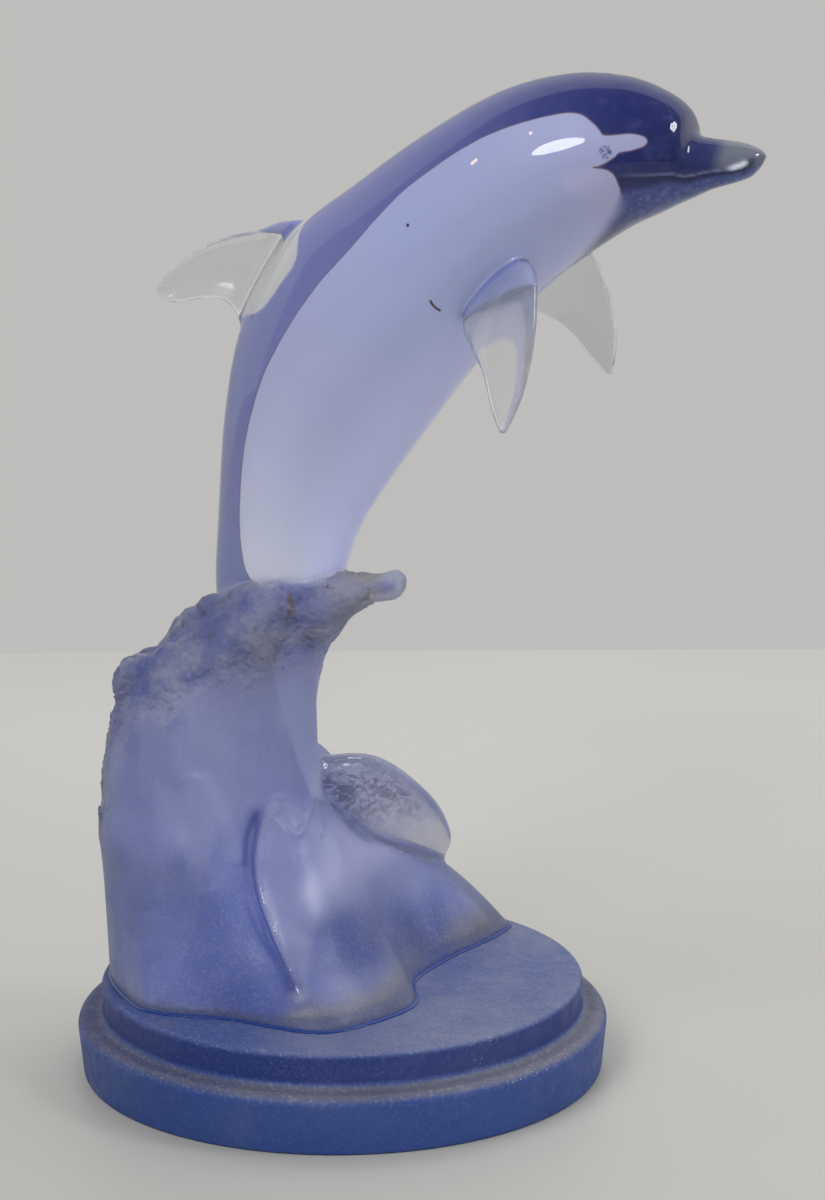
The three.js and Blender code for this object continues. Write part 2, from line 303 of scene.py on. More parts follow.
def round_edged(form, side=1):
    """A thin fin's distances, its edges and its tip rounded."""
    low, values = distances(blade(form, side, slimmer=EDGE_RADIUS / UNIT))
    return low, values - np.float32(EDGE_RADIUS)


def closed_outline(corners):
    """A smooth closed outline, through as many points as the wave has sides."""
    corners = np.array([list(c) + [0] * (3 - len(c)) for c in corners], float)
    padded = np.vstack([corners[-1:], corners, corners[:2]])
    place = np.arange(WAVE_SIDES) / WAVE_SIDES * len(corners)
    return smooth(padded, (place + 1) / (len(padded) - 1))


def level_section(level, directions):
    """One level section of the wave, a rounded oblong that narrows toward the belly side."""
    z, left, right, front, back = level
    middle_x = (left + right) / 2
    narrowed = 1 - WAVE_NARROWING * np.maximum(np.cos(directions), 0) ** 1.5
    along_x = np.abs(np.cos(directions)) / ((right - left) / 2)
    along_y = np.abs(np.sin(directions)) / (narrowed * np.where(directions > 0, back, -front))
    reach = (along_x ** WAVE_SQUARENESS + along_y ** WAVE_SQUARENESS) ** (-1 / WAVE_SQUARENESS)
    x = middle_x + reach * np.cos(directions)
    return np.stack([x, reach * np.sin(directions), np.full_like(reach, z)], -1)


def wave():
    shoulder = closed_outline(SHOULDER)
    directions = np.arctan2(shoulder[:, 1], shoulder[:, 0] - SHOULDER_MIDDLE)
    upper = [level_section(level, directions) for level in WAVE]
    sections = np.array([closed_outline(FOOT), shoulder, *upper])
    rings = drawn(sections, WAVE_RINGS)
    below = rings[:1] - [0, 0, FOOT_DEPTH]
    return loft(placed(np.concatenate([below, rings])))


def horn():
    x, y, z, half_height, half_width = drawn(HORN, HORN_RINGS).T[..., None]
    angle = round_angles(HORN_SIDES)
    rings = np.stack([x + 0 * angle, y + half_width * np.cos(angle), z + half_height * np.sin(angle)], -1)
    return loft(placed(rings))


def hump(place):
    middle, reach = np.array(place[:3], float), np.array(place[3:], float)
    tilt = np.linspace(0.05, math.pi - 0.05, HUMP_RINGS)[:, None]
    angle = round_angles(HUMP_SIDES)
    x, y = np.sin(tilt) * np.cos(angle), np.sin(tilt) * np.sin(angle)
    rings = np.stack([x, y, np.cos(tilt) + 0 * angle], -1)
    return loft(placed(middle + rings * reach))


# Signed distances on blocks of the grid, in metres, below zero inside.
FAR = BAND * VOXEL
GRID = vdb.createLinearTransform(voxelSize=VOXEL)


def distances(form):
    """A form's block: the grid place of its corner, and the distances."""
    vertices, quads, triangles = form
    grid = vdb.FloatGrid.createLevelSetFromPolygons(
        np.ascontiguousarray(vertices, np.float32),
        triangles=np.ascontiguousarray(triangles, np.uint32),
        quads=np.ascontiguousarray(quads, np.uint32),
        transform=GRID,
        halfWidth=BAND,
    )
    low = np.floor(vertices.min(0) / VOXEL).astype(int) - BAND - 1
    high = np.ceil(vertices.max(0) / VOXEL).astype(int) + BAND + 2
    values = np.empty(high - low, np.float32)
    grid.copyToArray(values, ijk=tuple(int(i) for i in low))
    return low, values


def joined(first, second, fillet):
    """The union of two blocks, which run into each other within the fillet."""
    low = np.minimum(first[0], second[0])
    high = np.maximum(first[0] + first[1].shape, second[0] + second[1].shape)
    total = np.full(high - low, FAR, np.float32)
    total[block_of(first, low)] = first[1]
    here = block_of(second, low)
    part = total[here]
    gap = np.maximum(fillet - np.abs(part - second[1]), 0) / fillet
    total[here] = np.minimum(part, second[1]) - gap * gap * (fillet / 4)
    return low, total


def block_of(block, low):
    start = block[0] - low
    return tuple(slice(s, s + n) for s, n in zip(start, block[1].shape))


def sampled(block, points):
    """The distances at points, between the grid's own places."""
    low, values = block
    place = np.clip(points / VOXEL - low, 0, np.array(values.shape) - 1.001)
    corner = place.astype(int)
    share = place - corner
    result = 0
    for i in (0, 1):
        for j in (0, 1):
            for k in (0, 1):
                weight = np.prod(np.abs(1 - np.array([i, j, k]) - share), axis=1)
                x, y, z = (corner + [i, j, k]).T
                result = result + weight * values[x, y, z]
    return result


def grid_places(block):
    """The block's places along x, y and z in figure units, each as a line."""
    low, values = block
    lines = [(low[i] + np.arange(values.shape[i])) * VOXEL for i in range(3)]
    return lines[0] / UNIT, lines[1] / UNIT, (lines[2] - FOOT_HEIGHT) / UNIT


def slope(block, points, reach=VOXEL):
    """The direction in which the distance grows at each point, as unit vectors."""
    rise = [sampled(block, points + s) - sampled(block, points - s) for s in np.eye(3) * reach]
    direction = np.stack(rise, -1)
    return direction / np.maximum(np.linalg.norm(direction, axis=1, keepdims=True), 1e-12)


def surface(block):
    """Vertices, quads and triangles of the surface where the distance is 0."""
    grid = vdb.FloatGrid(FAR)
    grid.transform = GRID
    grid.gridClass = vdb.GridClass.LEVEL_SET
    grid.copyFromArray(block[1], ijk=tuple(int(i) for i in block[0]))
    points, triangles, quads = grid.convertToPolygons(0.0, 0.0)
    return points.astype(float), quads, triangles


def outward(vertices, quads, triangles):
    """Whether a closed mesh's faces point out."""
    halves = [quads[:, [0, 1, 2]], quads[:, [0, 2, 3]]] if len(quads) else []
    corners = vertices[np.vstack(halves + ([triangles] if len(triangles) else []))]
    return np.einsum("ij,ij->", corners[:, 0], np.cross(corners[:, 1], corners[:, 2])) > 0


def as_object(name, vertices, quads, triangles=()):
    """A smooth shaded object of this mesh, its faces pointing out."""
    quads = np.asarray(quads, int).reshape(-1, 4)
    triangles = np.asarray(triangles, int).reshape(-1, 3)
    if not outward(vertices, quads, triangles):
        quads, triangles = quads[:, ::-1], triangles[:, ::-1]
    mesh = bpy.data.meshes.new(name)
    mesh.vertices.add(len(vertices))
    mesh.vertices.foreach_set("co", vertices.astype(np.float32).ravel())
    mesh.loops.add(quads.size + triangles.size)
    corners = np.concatenate([quads.ravel(), triangles.ravel()])
    mesh.loops.foreach_set("vertex_index", corners.astype(np.int32))
    mesh.polygons.add(len(quads) + len(triangles))
    starts = np.concatenate([np.arange(len(quads)) * 4, quads.size + np.arange(len(triangles)) * 3])
    mesh.polygons.foreach_set("loop_start", starts.astype(np.int32))
    mesh.polygons.foreach_set("use_smooth", np.ones(len(starts), bool))
    mesh.update(calc_edges=True)
    mesh.validate()
    obj = bpy.data.objects.new(name, mesh)
    bpy.context.scene.collection.objects.link(obj)
    return obj


def decimated(obj, triangles):
    """The object's mesh with fewer triangles."""
    now = sum(len(p.vertices) - 2 for p in obj.data.polygons)
    if now > triangles:
        modifier = obj.modifiers.new("fewer", "DECIMATE")
        modifier.ratio = triangles / now
        modifier.use_collapse_triangulate = True
        mesh = bpy.data.meshes.new_from_object(obj.evaluated_get(bpy.context.evaluated_depsgraph_get()))
        obj.modifiers.clear()
        old, obj.data = obj.data, mesh
        bpy.data.meshes.remove(old)
        mesh.name = obj.name
    return obj


def places(mesh):
    co = np.empty(len(mesh.vertices) * 3, np.float32)
    mesh.vertices.foreach_get("co", co)
    return co.reshape(-1, 3).astype(float)


def write_field(mesh, name, values):
    """A number at each vertex, for the materials to read."""
    attribute = mesh.attributes.new(name, "FLOAT", "POINT")
    attribute.data.foreach_set("value", np.asarray(values, np.float32))


def figured(points):
    """Points in metres as figure units."""
    return (points - [0, 0, FOOT_HEIGHT]) / UNIT


def along_line(points, line):
    """Each point's distance to a line of points, and how far along the line it is nearest."""
    line = np.array(line, float)
    best = np.full(len(points), 1e9)
    share = np.zeros(len(points))
    for i in range(len(line) - 1):
        way = line[i + 1] - line[i]
        t = np.clip((points - line[i]) @ way / (way @ way), 0, 1)
        far = np.linalg.norm(points - line[i] - t[:, None] * way, axis=1)
        nearer = far < best
        best[nearer], share[nearer] = far[nearer], (i + t[nearer]) / (len(line) - 1)
    return best, share


def inside(points, outline):
    """Whether flat points lie within a closed outline."""
    x, y = points.T
    result = np.zeros(len(points), bool)
    for (x0, y0), (x1, y1) in zip(outline, np.roll(outline, -1, 0)):
        if y0 != y1:
            result ^= ((y0 > y) != (y1 > y)) & (x < x0 + (y - y0) / (y1 - y0) * (x1 - x0))
    return result


def under_skin(t, lift, inset=0.0):
    """Points in metres on or under the body's skin, from places along it and degrees up its flank."""
    t, angle = np.asarray(t, float), np.radians(np.asarray(lift, float))[:, None]
    around = body_skin(t, angle + 0.01)[:, 0] - body_skin(t, angle - 0.01)[:, 0]
    onward = body_skin(t + 0.002, angle)[:, 0] - body_skin(t - 0.002, angle)[:, 0]
    out = np.cross(onward, around)
    out /= np.linalg.norm(out, axis=1, keepdims=True)
    point = body_skin(t, angle)[:, 0]
    back_x, back_z, belly_x, belly_z, _ = smooth(BODY, t).T
    middle = np.stack([(back_x + belly_x) / 2, 0 * t, (back_z + belly_z) / 2], -1)
    out *= np.sign(np.sum(out * (point - middle), 1, keepdims=True))
    return placed(point) - out * inset


def mirrored(points):
    """Points folded onto the side on which the body's chart is drawn."""
    return np.stack([points[:, 0], np.abs(points[:, 1]), points[:, 2]], -1)


# The chips' noise takes its offsets from this seed, so that the crest is the same each run.
CHIP_SEED = 3
# The chips' sizes in figure units, and how much each size counts.
CHIP_SIZES = ((27, 0.75), (12, 0.42), (5.5, 0.2))
# Where the chipped crest begins and is full: up its height, and out at its rear edge.
CREST_RISE = (300, 372)
CREST_TILT = 0.45
CREST_EDGE = (214, 256)
CREST_EDGE_RISE = (110, 220)
CREST_DEPTH = 2.7 * MM
CREST_GRAIN = Vector((0.83, 0.1, 0.55)).normalized()
BLOWHOLE_PLACE = 0.385
BLOWHOLE_RADIUS = 2.4 * MM
BLOWHOLE_DEPTH = 1.6 * MM

# The mouth's slit, sunk and painted dark as the shade in it, and the lip above it, painted with a highlight
# line, as places along the body and degrees up its flank.
MOUTH_SLIT = [
    (0.352, -17), (0.309, -20), (0.234, -20), (0.171, -19.5), (0.129, -22), (0.098, -25), (0.069, -18),
    (0.045, 6),
]
MOUTH_LIP = [
    (0.355, -14.5), (0.309, -17), (0.267, -17), (0.2, -14.5), (0.148, -13.5), (0.111, -12), (0.086, -4),
    (0.06, 14),
]
SLIT_DEPTH = 1.2 * MM
SLIT_WIDTH = 1.1 * MM
LIP_RISE = 0.35 * MM
LIP_WIDTH = 0.9 * MM

# Folds of the wave and the flukes: a line through figure points, how far it rises (or sinks) in
# millimetres, and its width.
FOLDS = [
    ([(-65, -86, 198), (-66, -98, 179), (-63, -114, 156), (-57, -125, 137), (-47, -135, 114), (-31, -147, 88),
      (-9, -163, 61), (11, -177, 41)], -2.6, 2.2),
    ([(-49, -72, 207), (-52, -80, 201), (-57, -93, 184), (-54, -106, 165), (-52, -118, 148), (-45, -129, 129),
      (-39, -136, 115), (-28, -144, 99), (-19, -152, 84), (-6, -162, 68), (6, -172, 52), (21, -184, 32)],
      1.1, 1.4),
    ([(-49, -72, 207), (-40, -78, 198), (-32, -81, 190), (-25, -83, 182), (-20, -80, 179), (-17, -73, 182),
      (-18, -57, 189), (-23, -34, 196), (-24, -23, 207), (-25, -12, 221)], 1.3, 1.7),
    ([(-24, -15, 352), (-29, -3, 309), (-31, 2, 275), (-27, -5, 236), (-12, -35, 183), (-3, -56, 167)],
     1.2, 1.8),
    ([(-118, -108, 250), (-111, -111, 231), (-98, -111, 206), (-82, -114, 175), (-70, -122, 149)], 1.6, 4.5),
    ([(-150, -118, 240), (-140, -122, 200), (-120, -128, 160), (-104, -140, 120)], -1.2, 7),
    ([(-210, -100, 250), (-212, -104, 190), (-205, -120, 130)], 1.0, 6),
    ([(-33, 10, 236), (-13, 17, 241), (4, 34, 238), (22, 51, 230), (34, 65, 219), (45, 85, 205),
      (60, 108, 182), (72, 130, 150)], 0.9, 1.8),
]

# Where the wave's blue shows deepest: through its spreading foot, and low on its near side.
HEART = [(46, -112, 70), (60, -60, 66), (74, 10, 50), (82, 70, 34)]
LOW_WAVE = [(-60, -160, 100), (-50, -166, 60), (-90, -172, 30), (-20, -176, 20)]


def crest_share(points):
    """How much a place in figure units belongs to the chipped crest, from 0 to 1."""
    at = [Vector(p) for p in points.tolist()]
    wander = np.array([noise.noise(p / 42) + 0.4 * noise.noise(p / 13) for p in at]) * 26
    high = step(points[:, 2] + wander - CREST_TILT * (points[:, 0] + 100), *CREST_RISE)
    edge = step(-points[:, 0] + wander * 0.5, *CREST_EDGE) * step(points[:, 2] + wander, *CREST_EDGE_RISE)
    horn_end = step(points[:, 0], 48, 66) * step(points[:, 2], 400, 420)
    return np.maximum(high, edge) * (1 - 0.75 * horn_end)


def chips(points):
    """Heights of the crest's chipped surface, about -1 to 1: facets that tilt each its own way."""
    noise.seed_set(CHIP_SEED)
    heights = []
    for p in points.tolist():
        place = Vector(p)
        place -= CREST_GRAIN * place.dot(CREST_GRAIN) * 0.5
        bent = place + noise.noise_vector(place / 11) * 2.5
        height = noise.noise(place / 38) * 0.7
        for scale, share in CHIP_SIZES:
            cell = noise.voronoi(bent / scale)[1][0]
            height += (bent / scale - cell).dot(noise.noise_vector(cell * 5.3)) * share * 1.6
        heights.append(height + noise.noise(place / 2.6) * 0.08 - 0.1)
    return np.clip(heights, -1.4, 1.1)


def dolphin_forms():
    """The dolphin's body, its dorsal fin and its pectoral fins, apart."""
    pectorals = joined(round_edged(PECTORAL_FIN, 1), round_edged(PECTORAL_FIN, -1), FIN_FILLET)
    return distances(body()), round_edged(DORSAL_FIN), pectorals


def water_form():
    """The wave with its foot, its thrown crest and its lumps."""
    water = joined(distances(wave()), distances(horn()), WAVE_FILLET)
    for place in HUMPS:
        water = joined(water, distances(hump(place)), WAVE_FILLET)
    for place in LEDGES:
        water = joined(water, distances(hump(place)), CREST_FILLET)
    return water


def casting(trunk, dorsal, pectorals, water):
    """The clear casting: dolphin, flukes, wave and foot in one skin."""
    dolphin = joined(joined(trunk, dorsal, FIN_FILLET), pectorals, FIN_FILLET)
    far_fluke, near_fluke = distances(blade(FAR_FLUKE)), distances(blade(NEAR_FLUKE))
    lower = joined(joined(water, far_fluke, FLUKE_FILLET), near_fluke, LEAF_FILLET)
    low, total = joined(lower, dolphin, CREST_FILLET)
    heights = (low[2] + np.arange(total.shape[2])) * VOXEL
    total = np.maximum(total, (FOOT_HEIGHT - heights).astype(np.float32))
    whole = (low, total)

    def wetness(points):
        """1 on the wave and on what it covers, 0 on the dolphin above it."""
        nearer = step(sampled(dolphin, points) - sampled(lower, points), -1 * MM, 2 * MM)
        return np.maximum(nearer, 1 - step(figured(points)[:, 2], 405, 430))

    def roughness(points, wet):
        figure = figured(points)
        near = (wet > 0) & (figure[:, 2] > CREST_EDGE_RISE[0] - 30)
        rough = np.zeros(len(points))
        rough[near] = crest_share(figure[near]) * wet[near]
        return rough

    vertices, quads, triangles = surface(whole)
    out = slope(whole, vertices)
    figure = figured(vertices)
    rough = roughness(vertices, wetness(vertices))
    raised = np.zeros(len(vertices))
    chipped = rough > 0.02
    raised[chipped] = chips(figure[chipped]) * rough[chipped] * CREST_DEPTH

    folded = mirrored(vertices)
    slit, along_slit = along_line(folded, under_skin(*drawn(MOUTH_SLIT, 40).T))
    raised -= SLIT_DEPTH * bell(slit, SLIT_WIDTH) * step(along_slit, 0, 0.12)
    lip, along_lip = along_line(folded, under_skin(*drawn(MOUTH_LIP, 40).T))
    raised += LIP_RISE * bell(lip, LIP_WIDTH) * step(along_lip, 0, 0.12)
    top = under_skin([BLOWHOLE_PLACE], [90])
    raised -= BLOWHOLE_DEPTH * bell(np.linalg.norm(vertices - top, axis=1), BLOWHOLE_RADIUS)
    folds = np.zeros(len(vertices))
    lower_part = figure[:, 2] < 400
    for line, height, width in FOLDS:
        far, share = along_line(figure[lower_part], drawn(line, 30))
        ends = step(share, 0, 0.12) * step(share, 1, 0.88)
        folds[lower_part] += height * MM * bell(far * UNIT, width * MM) * ends
    raised += folds

    moved = vertices + out * (raised * step(figure[:, 2], 2, 14))[:, None]
    obj = decimated(as_object("clear_casting", moved, quads, triangles), CASTING_TRIANGLES)
    mesh = obj.data
    at = places(mesh)
    figure = figured(at)
    wet = wetness(at)
    rough = roughness(at, wet)
    plain = sampled(water, at)
    off_far, off_near = sampled(far_fluke, at), sampled(near_fluke, at)
    on_far = step(off_far - plain, 1 * MM, -2 * MM) * step(off_far, 5 * MM, 2 * MM)
    on_near = step(off_near - plain, 2 * MM, -1 * MM) * step(off_near, 5 * MM, 2 * MM)
    rim, _ = along_line(figure, smooth(FAR_FLUKE["lead"], np.linspace(0.1, 1, 24)))
    rim = step(rim, 26, 12) * on_far
    ridge, _ = along_line(figure, drawn(FOLDS[1][0], 30))
    ridge = step(ridge, 8, 3.5)
    polish = np.maximum(np.maximum(rim, on_far * 0.75), np.maximum(on_near * 0.25, ridge * 0.8))
    write_field(mesh, "under_fluke", beside_fluke(figure) * (1 - on_near) * (1 - on_far) * wet)
    # Pale lines along the crests of the raised folds: painted highlights.
    pale = np.zeros(len(at))
    for line, _, width in FOLDS[2:5]:
        far, share = along_line(figure, drawn(line, 30))
        ends = step(share, 0, 0.15) * step(share, 1, 0.85)
        pale = np.maximum(pale, bell(far * UNIT, width * 0.8 * MM) * ends)
    write_field(mesh, "ridge_highlights", pale * wet)
    write_field(mesh, "far_fluke", on_far)
    write_field(mesh, "frost", wet * (1 - polish))
    write_field(mesh, "crest", rough)
    write_field(mesh, "crackle", on_far * (1 - rim) * step(figure[:, 2], 120, 175))
    write_field(mesh, "leaf", on_near)
    off_trunk = step(sampled(trunk, at), 2 * MM, 7 * MM) * (1 - wet)
    write_field(mesh, "fin", off_trunk)
    outline = closed_outline(FOOT)[::3]
    lip, _ = along_line(figure, np.vstack([outline, outline[:1]]))
    mound = step(figure[:, 0], -10, 40)
    write_field(mesh, "lip", step(lip, 14 + 40 * mound, 2 + 14 * mound) * wet)
    heart, _ = along_line(figure, drawn(HEART, 20))
    write_field(mesh, "heart", step(heart, 58, 16) * wet)
    low_wave, _ = along_line(figure, drawn(LOW_WAVE, 12))
    write_field(mesh, "deep", step(low_wave, 80, 10) * wet)
    # The sunk groove left of the near fluke is painted dark blue: painted shade in it.
    groove_shade, _ = along_line(figure, drawn(FOLDS[0][0], 30))
    write_field(mesh, "groove_shade", bell(groove_shade, 8))
    keep_normals(obj, whole, at, np.maximum(rough, fold_share(figure)))
    corners = np.empty(len(mesh.loops), np.int32)
    mesh.loops.foreach_get("vertex_index", corners)
    corners = corners.reshape(-1, 3)
    kind = np.zeros(len(corners), np.int32)
    kind[wet[corners].mean(1) > 0.5] = FROSTED
    kind[(rough[corners].mean(1) > 0.5) & (kind == FROSTED)] = CHIPPED
    kind[(off_trunk[corners].mean(1) > 0.5) & (kind == 0)] = CLOUDY_FIN
    for name, clearness, specular in GRADES:
        mesh.materials.append(clear_resin(name, clearness, specular))
    mesh.polygons.foreach_set("material_index", kind)
    obj.visible_shadow = False
    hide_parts("dolphin_and_wave")
    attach(obj, "root")


def beside_fluke(figure):
    """1 on the pale band of the wave between the flukes and the mound, 0 elsewhere."""
    x, _, z = figure.T
    return step(x, -24, -2) * step(z, 88, 122) * step(z, 260, 230)


def fold_share(figure):
    """1 on the folds that are raised or sunk, 0 elsewhere."""
    share = np.zeros(len(figure))
    for line, _, width in FOLDS:
        far, _ = along_line(figure, drawn(line, 30))
        share = np.maximum(share, step(far * UNIT, 3 * width * MM, 2 * width * MM))
    return share


def keep_normals(obj, block, at, rough):
    """Normals of the true curved form where the skin isn't chipped, so that gloss runs smoothly."""
    mesh = obj.data
    own = np.array([v.vector for v in mesh.vertex_normals], float)
    true = slope(block, at, 1.5 * VOXEL)
    share = np.clip(rough * 3, 0, 1)[:, None]
    agree = np.einsum("ij,ij->i", own, true) > 0.8
    share = np.where(agree[:, None], share, 1.0)
    normals = own * share + true * (1 - share)
    normals /= np.linalg.norm(normals, axis=1, keepdims=True)
    mesh.normals_split_custom_set_from_vertices(normals.tolist())


class Shading:
    """A material and short names for its nodes. Its plain numbers are set on the shader's sockets."""

    def __init__(self, name, **plain):
        self.material = bpy.data.materials.new(name)
        self.material.use_nodes = True
        self.tree = self.material.node_tree
        self.shader = self.tree.nodes["Principled BSDF"]
        for socket, value in plain.items():
            self.shader.inputs[socket.replace("_", " ")].default_value = value

    def add(self, kind, out=0, inputs=None, **settings):
        node = self.tree.nodes.new("ShaderNode" + kind)
        for key, value in settings.items():
            setattr(node, key, value)
        for key, value in (inputs or {}).items():
            if isinstance(value, bpy.types.NodeSocket):
                self.tree.links.new(value, node.inputs[key])
            else:
                node.inputs[key].default_value = value
        return node.outputs[out]

    def glow(self, weight, reach):
        """Light spreads inside by this reach in metres of red, green and blue."""
        self.shader.inputs["Subsurface Weight"].default_value = weight
        self.shader.inputs["Subsurface Radius"].default_value = reach
        self.shader.inputs["Subsurface Scale"].default_value = 1.0

    def link(self, value, socket):
        self.tree.links.new(value, self.shader.inputs[socket])

    def field(self, name):
        return self.add("Attribute", "Fac", attribute_name=name)

    def place(self):
        return self.add("TexCoord", "Object")

    def axis(self, name):
        return self.add("SeparateXYZ", name, {0: self.place()})

    def stretched(self, scale, rotation=(0.0, 0.0, 0.0)):
        """Places for a texture that runs longer along the axes with a small scale."""
        return self.add("Mapping", 0, {"Vector": self.place(), "Rotation": rotation, "Scale": scale})

    def noise(self, scale, detail=3.0, roughness=0.5, distortion=0.0, at=None):
        inputs = {"Scale": scale, "Detail": detail, "Roughness": roughness, "Distortion": distortion}
        return self.add("TexNoise", "Fac", {"Vector": at or self.place(), **inputs})

    def specks(self, scale, size):
        """1 in the middle of scattered dots, 0 between them."""
        far = self.add("TexVoronoi", "Distance", {"Vector": self.place(), "Scale": scale})
        return self.span(far, size, size * 0.4, 0, 1)

    def span(self, value, low, high, first=0.0, last=1.0, smooth_ends=True):
        kind = "SMOOTHSTEP" if smooth_ends else "LINEAR"
        inputs = {"Value": value, "From Min": low, "From Max": high, "To Min": first, "To Max": last}
        return self.add("MapRange", "Result", inputs, interpolation_type=kind)

    def maths(self, operation, a, b=0.0):
        return self.add("Math", 0, {0: a, 1: b}, operation=operation)

    def times(self, a, b):
        return self.maths("MULTIPLY", a, b)

    def between(self, share, a, b):
        """Two numbers mixed."""
        return self.add("Mix", 0, {0: share, 2: a, 3: b}, data_type="FLOAT")

    def mix(self, share, a, b):
        """Two colours mixed, each a socket or as it looks on a screen."""
        a, b = (colour(*c) if isinstance(c, tuple) else c for c in (a, b))
        return self.add("Mix", 2, {0: share, 6: a, 7: b}, data_type="RGBA")

    def tint(self, tone, other, share, weight):
        """A colour with another over it, as much as the share times the weight."""
        return self.mix(self.times(share, weight), tone, other)

    def ramp(self, value, stops):
        node = self.tree.nodes.new("ShaderNodeValToRGB")
        self.tree.links.new(value, node.inputs[0])
        elements = node.color_ramp.elements
        while len(elements) < len(stops):
            elements.new(0.5)
        for element, (position, shade) in zip(elements, stops):
            element.position, element.color = position, colour(*shade)
        return node.outputs[0]

    def bump(self, height, strength, distance, normal=None):
        inputs = {"Height": height, "Strength": strength, "Distance": distance}
        if normal is not None:
            inputs["Normal"] = normal
        return self.add("Bump", 0, inputs)


def colour(red, green, blue):
    """A colour as it looks on a screen, 0 to 255, for a shader."""
    linear = lambda c: c / 12.92 if c <= 0.04045 else ((c + 0.055) / 1.055) ** 2.4
    return tuple(linear(c / 255) for c in (red, green, blue)) + (1.0,)


RESIN_IOR = 1.5

# The clear resin's grades, in the order of the casting's material slots: how much light goes
# through, and how strongly its surface shines.
GRADES = [
    ("clear_resin", 1.0, 0.5),
    ("frosted_resin", 0.84, 0.2),
    ("chipped_resin", 0.76, 0.3),
    ("cloudy_fin_resin", 0.88, 0.5),
]
FROSTED, CHIPPED, CLOUDY_FIN = 1, 2, 3


def clear_resin(name, clearness, specular):
    """Clear resin: polished on the dolphin, sandblasted on the wave, chipped and stained on its crest."""
    s = Shading(name, Transmission_Weight=clearness, IOR=RESIN_IOR, Specular_IOR_Level=specular)
    frost, crest, fin = s.field("frost"), s.field("crest"), s.field("fin")
    crackle, leaf, groove_shade = s.field("crackle"), s.field("leaf"), s.field("groove_shade")
    dust = s.specks(260, 0.10)
    polished = s.mix(fin, (246, 247, 250), (226, 226, 228))
    polished = s.mix(dust, polished, (205, 203, 196))
    height = s.span(s.axis("Z"), 0.05, 0.16)
    cloudy = s.mix(height, (168, 183, 226), (195, 200, 227))
    upright = s.stretched((1.0, 1.0, 0.22))
    streaks = s.span(s.noise(34, 4.0, 0.55, 0.6, upright), 0.42, 0.68)
    cloudy = s.tint(cloudy, (226, 226, 234), streaks, 0.5)
    cloudy = s.tint(cloudy, (118, 142, 212), s.field("deep"), 0.75)
    cloudy = s.tint(cloudy, (158, 156, 149), s.field("lip"), 0.85)
    cloudy = s.tint(cloudy, (102, 124, 188), s.field("heart"), 0.85)
    cloudy = s.mix(leaf, cloudy, (206, 210, 234))
    # Painted highlights along the raised folds' crests.
    cloudy = s.tint(cloudy, (240, 240, 248), s.field("ridge_highlights"), 0.5)
    cloudy = s.tint(cloudy, (216, 216, 236), s.field("under_fluke"), 0.7)
    flecks = s.times(s.specks(620, 0.2), s.span(s.noise(45, 3.0), 0.45, 0.6))
    cloudy = s.tint(cloudy, (252, 252, 252), flecks, 0.7)
    grain = s.span(s.noise(700, 2.0, 0.7), 0.46, 0.66)
    cloudy = s.tint(cloudy, (240, 240, 244), grain, 0.26)
    slanted = s.stretched((0.3, 0.8, 1.3), (0.0, 0.7, 0.4))
    veins = s.span(s.noise(210, 8.0, 0.75, 1.0, slanted), 0.45, 0.57)
    higher = s.span(s.axis("Z"), 0.108, 0.122, 0.45, 1.0)
    veins = s.times(veins, higher)
    veins = s.times(veins, crackle)
    grey = s.mix(s.span(s.noise(52, 5.0, 0.6), 0.35, 0.65), (124, 134, 184), (198, 197, 202))
    leaning = s.stretched((0.35, 1.0, 1.2), (0.0, 0.6, 0.0))
    scored = s.span(s.noise(190, 5.0, 0.65, 0.5, leaning), 0.54, 0.68, 0, 0.55)
    grey = s.mix(scored, grey, (92, 92, 118))
    ahead = s.span(s.axis("X"), -0.012, 0.014)
    grey = s.tint(grey, (214, 211, 202), ahead, 0.7)
    stain = s.span(s.noise(95, 6.0, 0.7, 0.8), 0.62, 0.68)
    stain = s.times(stain, s.maths("ADD", s.times(crest, 0.8), 0.06))
    tone = s.mix(frost, polished, s.mix(crest, cloudy, grey))
    tone = s.mix(s.times(stain, frost), tone, (140, 110, 76))
    tone = s.tint(tone, (194, 195, 206), s.field("far_fluke"), 0.85)
    tone = s.tint(tone, (214, 215, 242), crackle, 0.65)
    tone = s.tint(tone, (72, 76, 104), veins, 0.76)
    # Painted shade in the groove beside the near fluke.
    tone = s.tint(tone, (62, 80, 156), groove_shade, 0.85)
    s.link(tone, "Base Color")
    gloss = s.span(s.noise(90), 0.45, 0.75, 0.015, 0.06)
    gloss = s.between(fin, gloss, 0.1)
    blasted = s.span(s.noise(120, 4.0), 0.3, 0.7, 0.36, 0.46)
    blasted = s.between(crest, blasted, 0.3)
    s.link(s.between(frost, gloss, blasted), "Roughness")
    wavy = s.bump(s.noise(38, 1.0), 0.25, 0.0006)
    grain = s.bump(s.times(s.noise(1400, 2.0), frost), 0.35, 0.0002, wavy)
    broken = s.bump(s.times(s.noise(150, 6.0, 0.7, 0.8, slanted), crackle), 0.8, 0.0025, grain)
    cracks = s.add("TexVoronoi", "Distance", {"Vector": s.place(), "Scale": 210}, feature="DISTANCE_TO_EDGE")
    rugged = s.maths("ADD", s.noise(260, 6.0, 0.7), s.times(cracks, 1.2))
    s.link(s.bump(s.times(rugged, crest), 0.9, 0.0016, broken), "Normal")
    return s.material


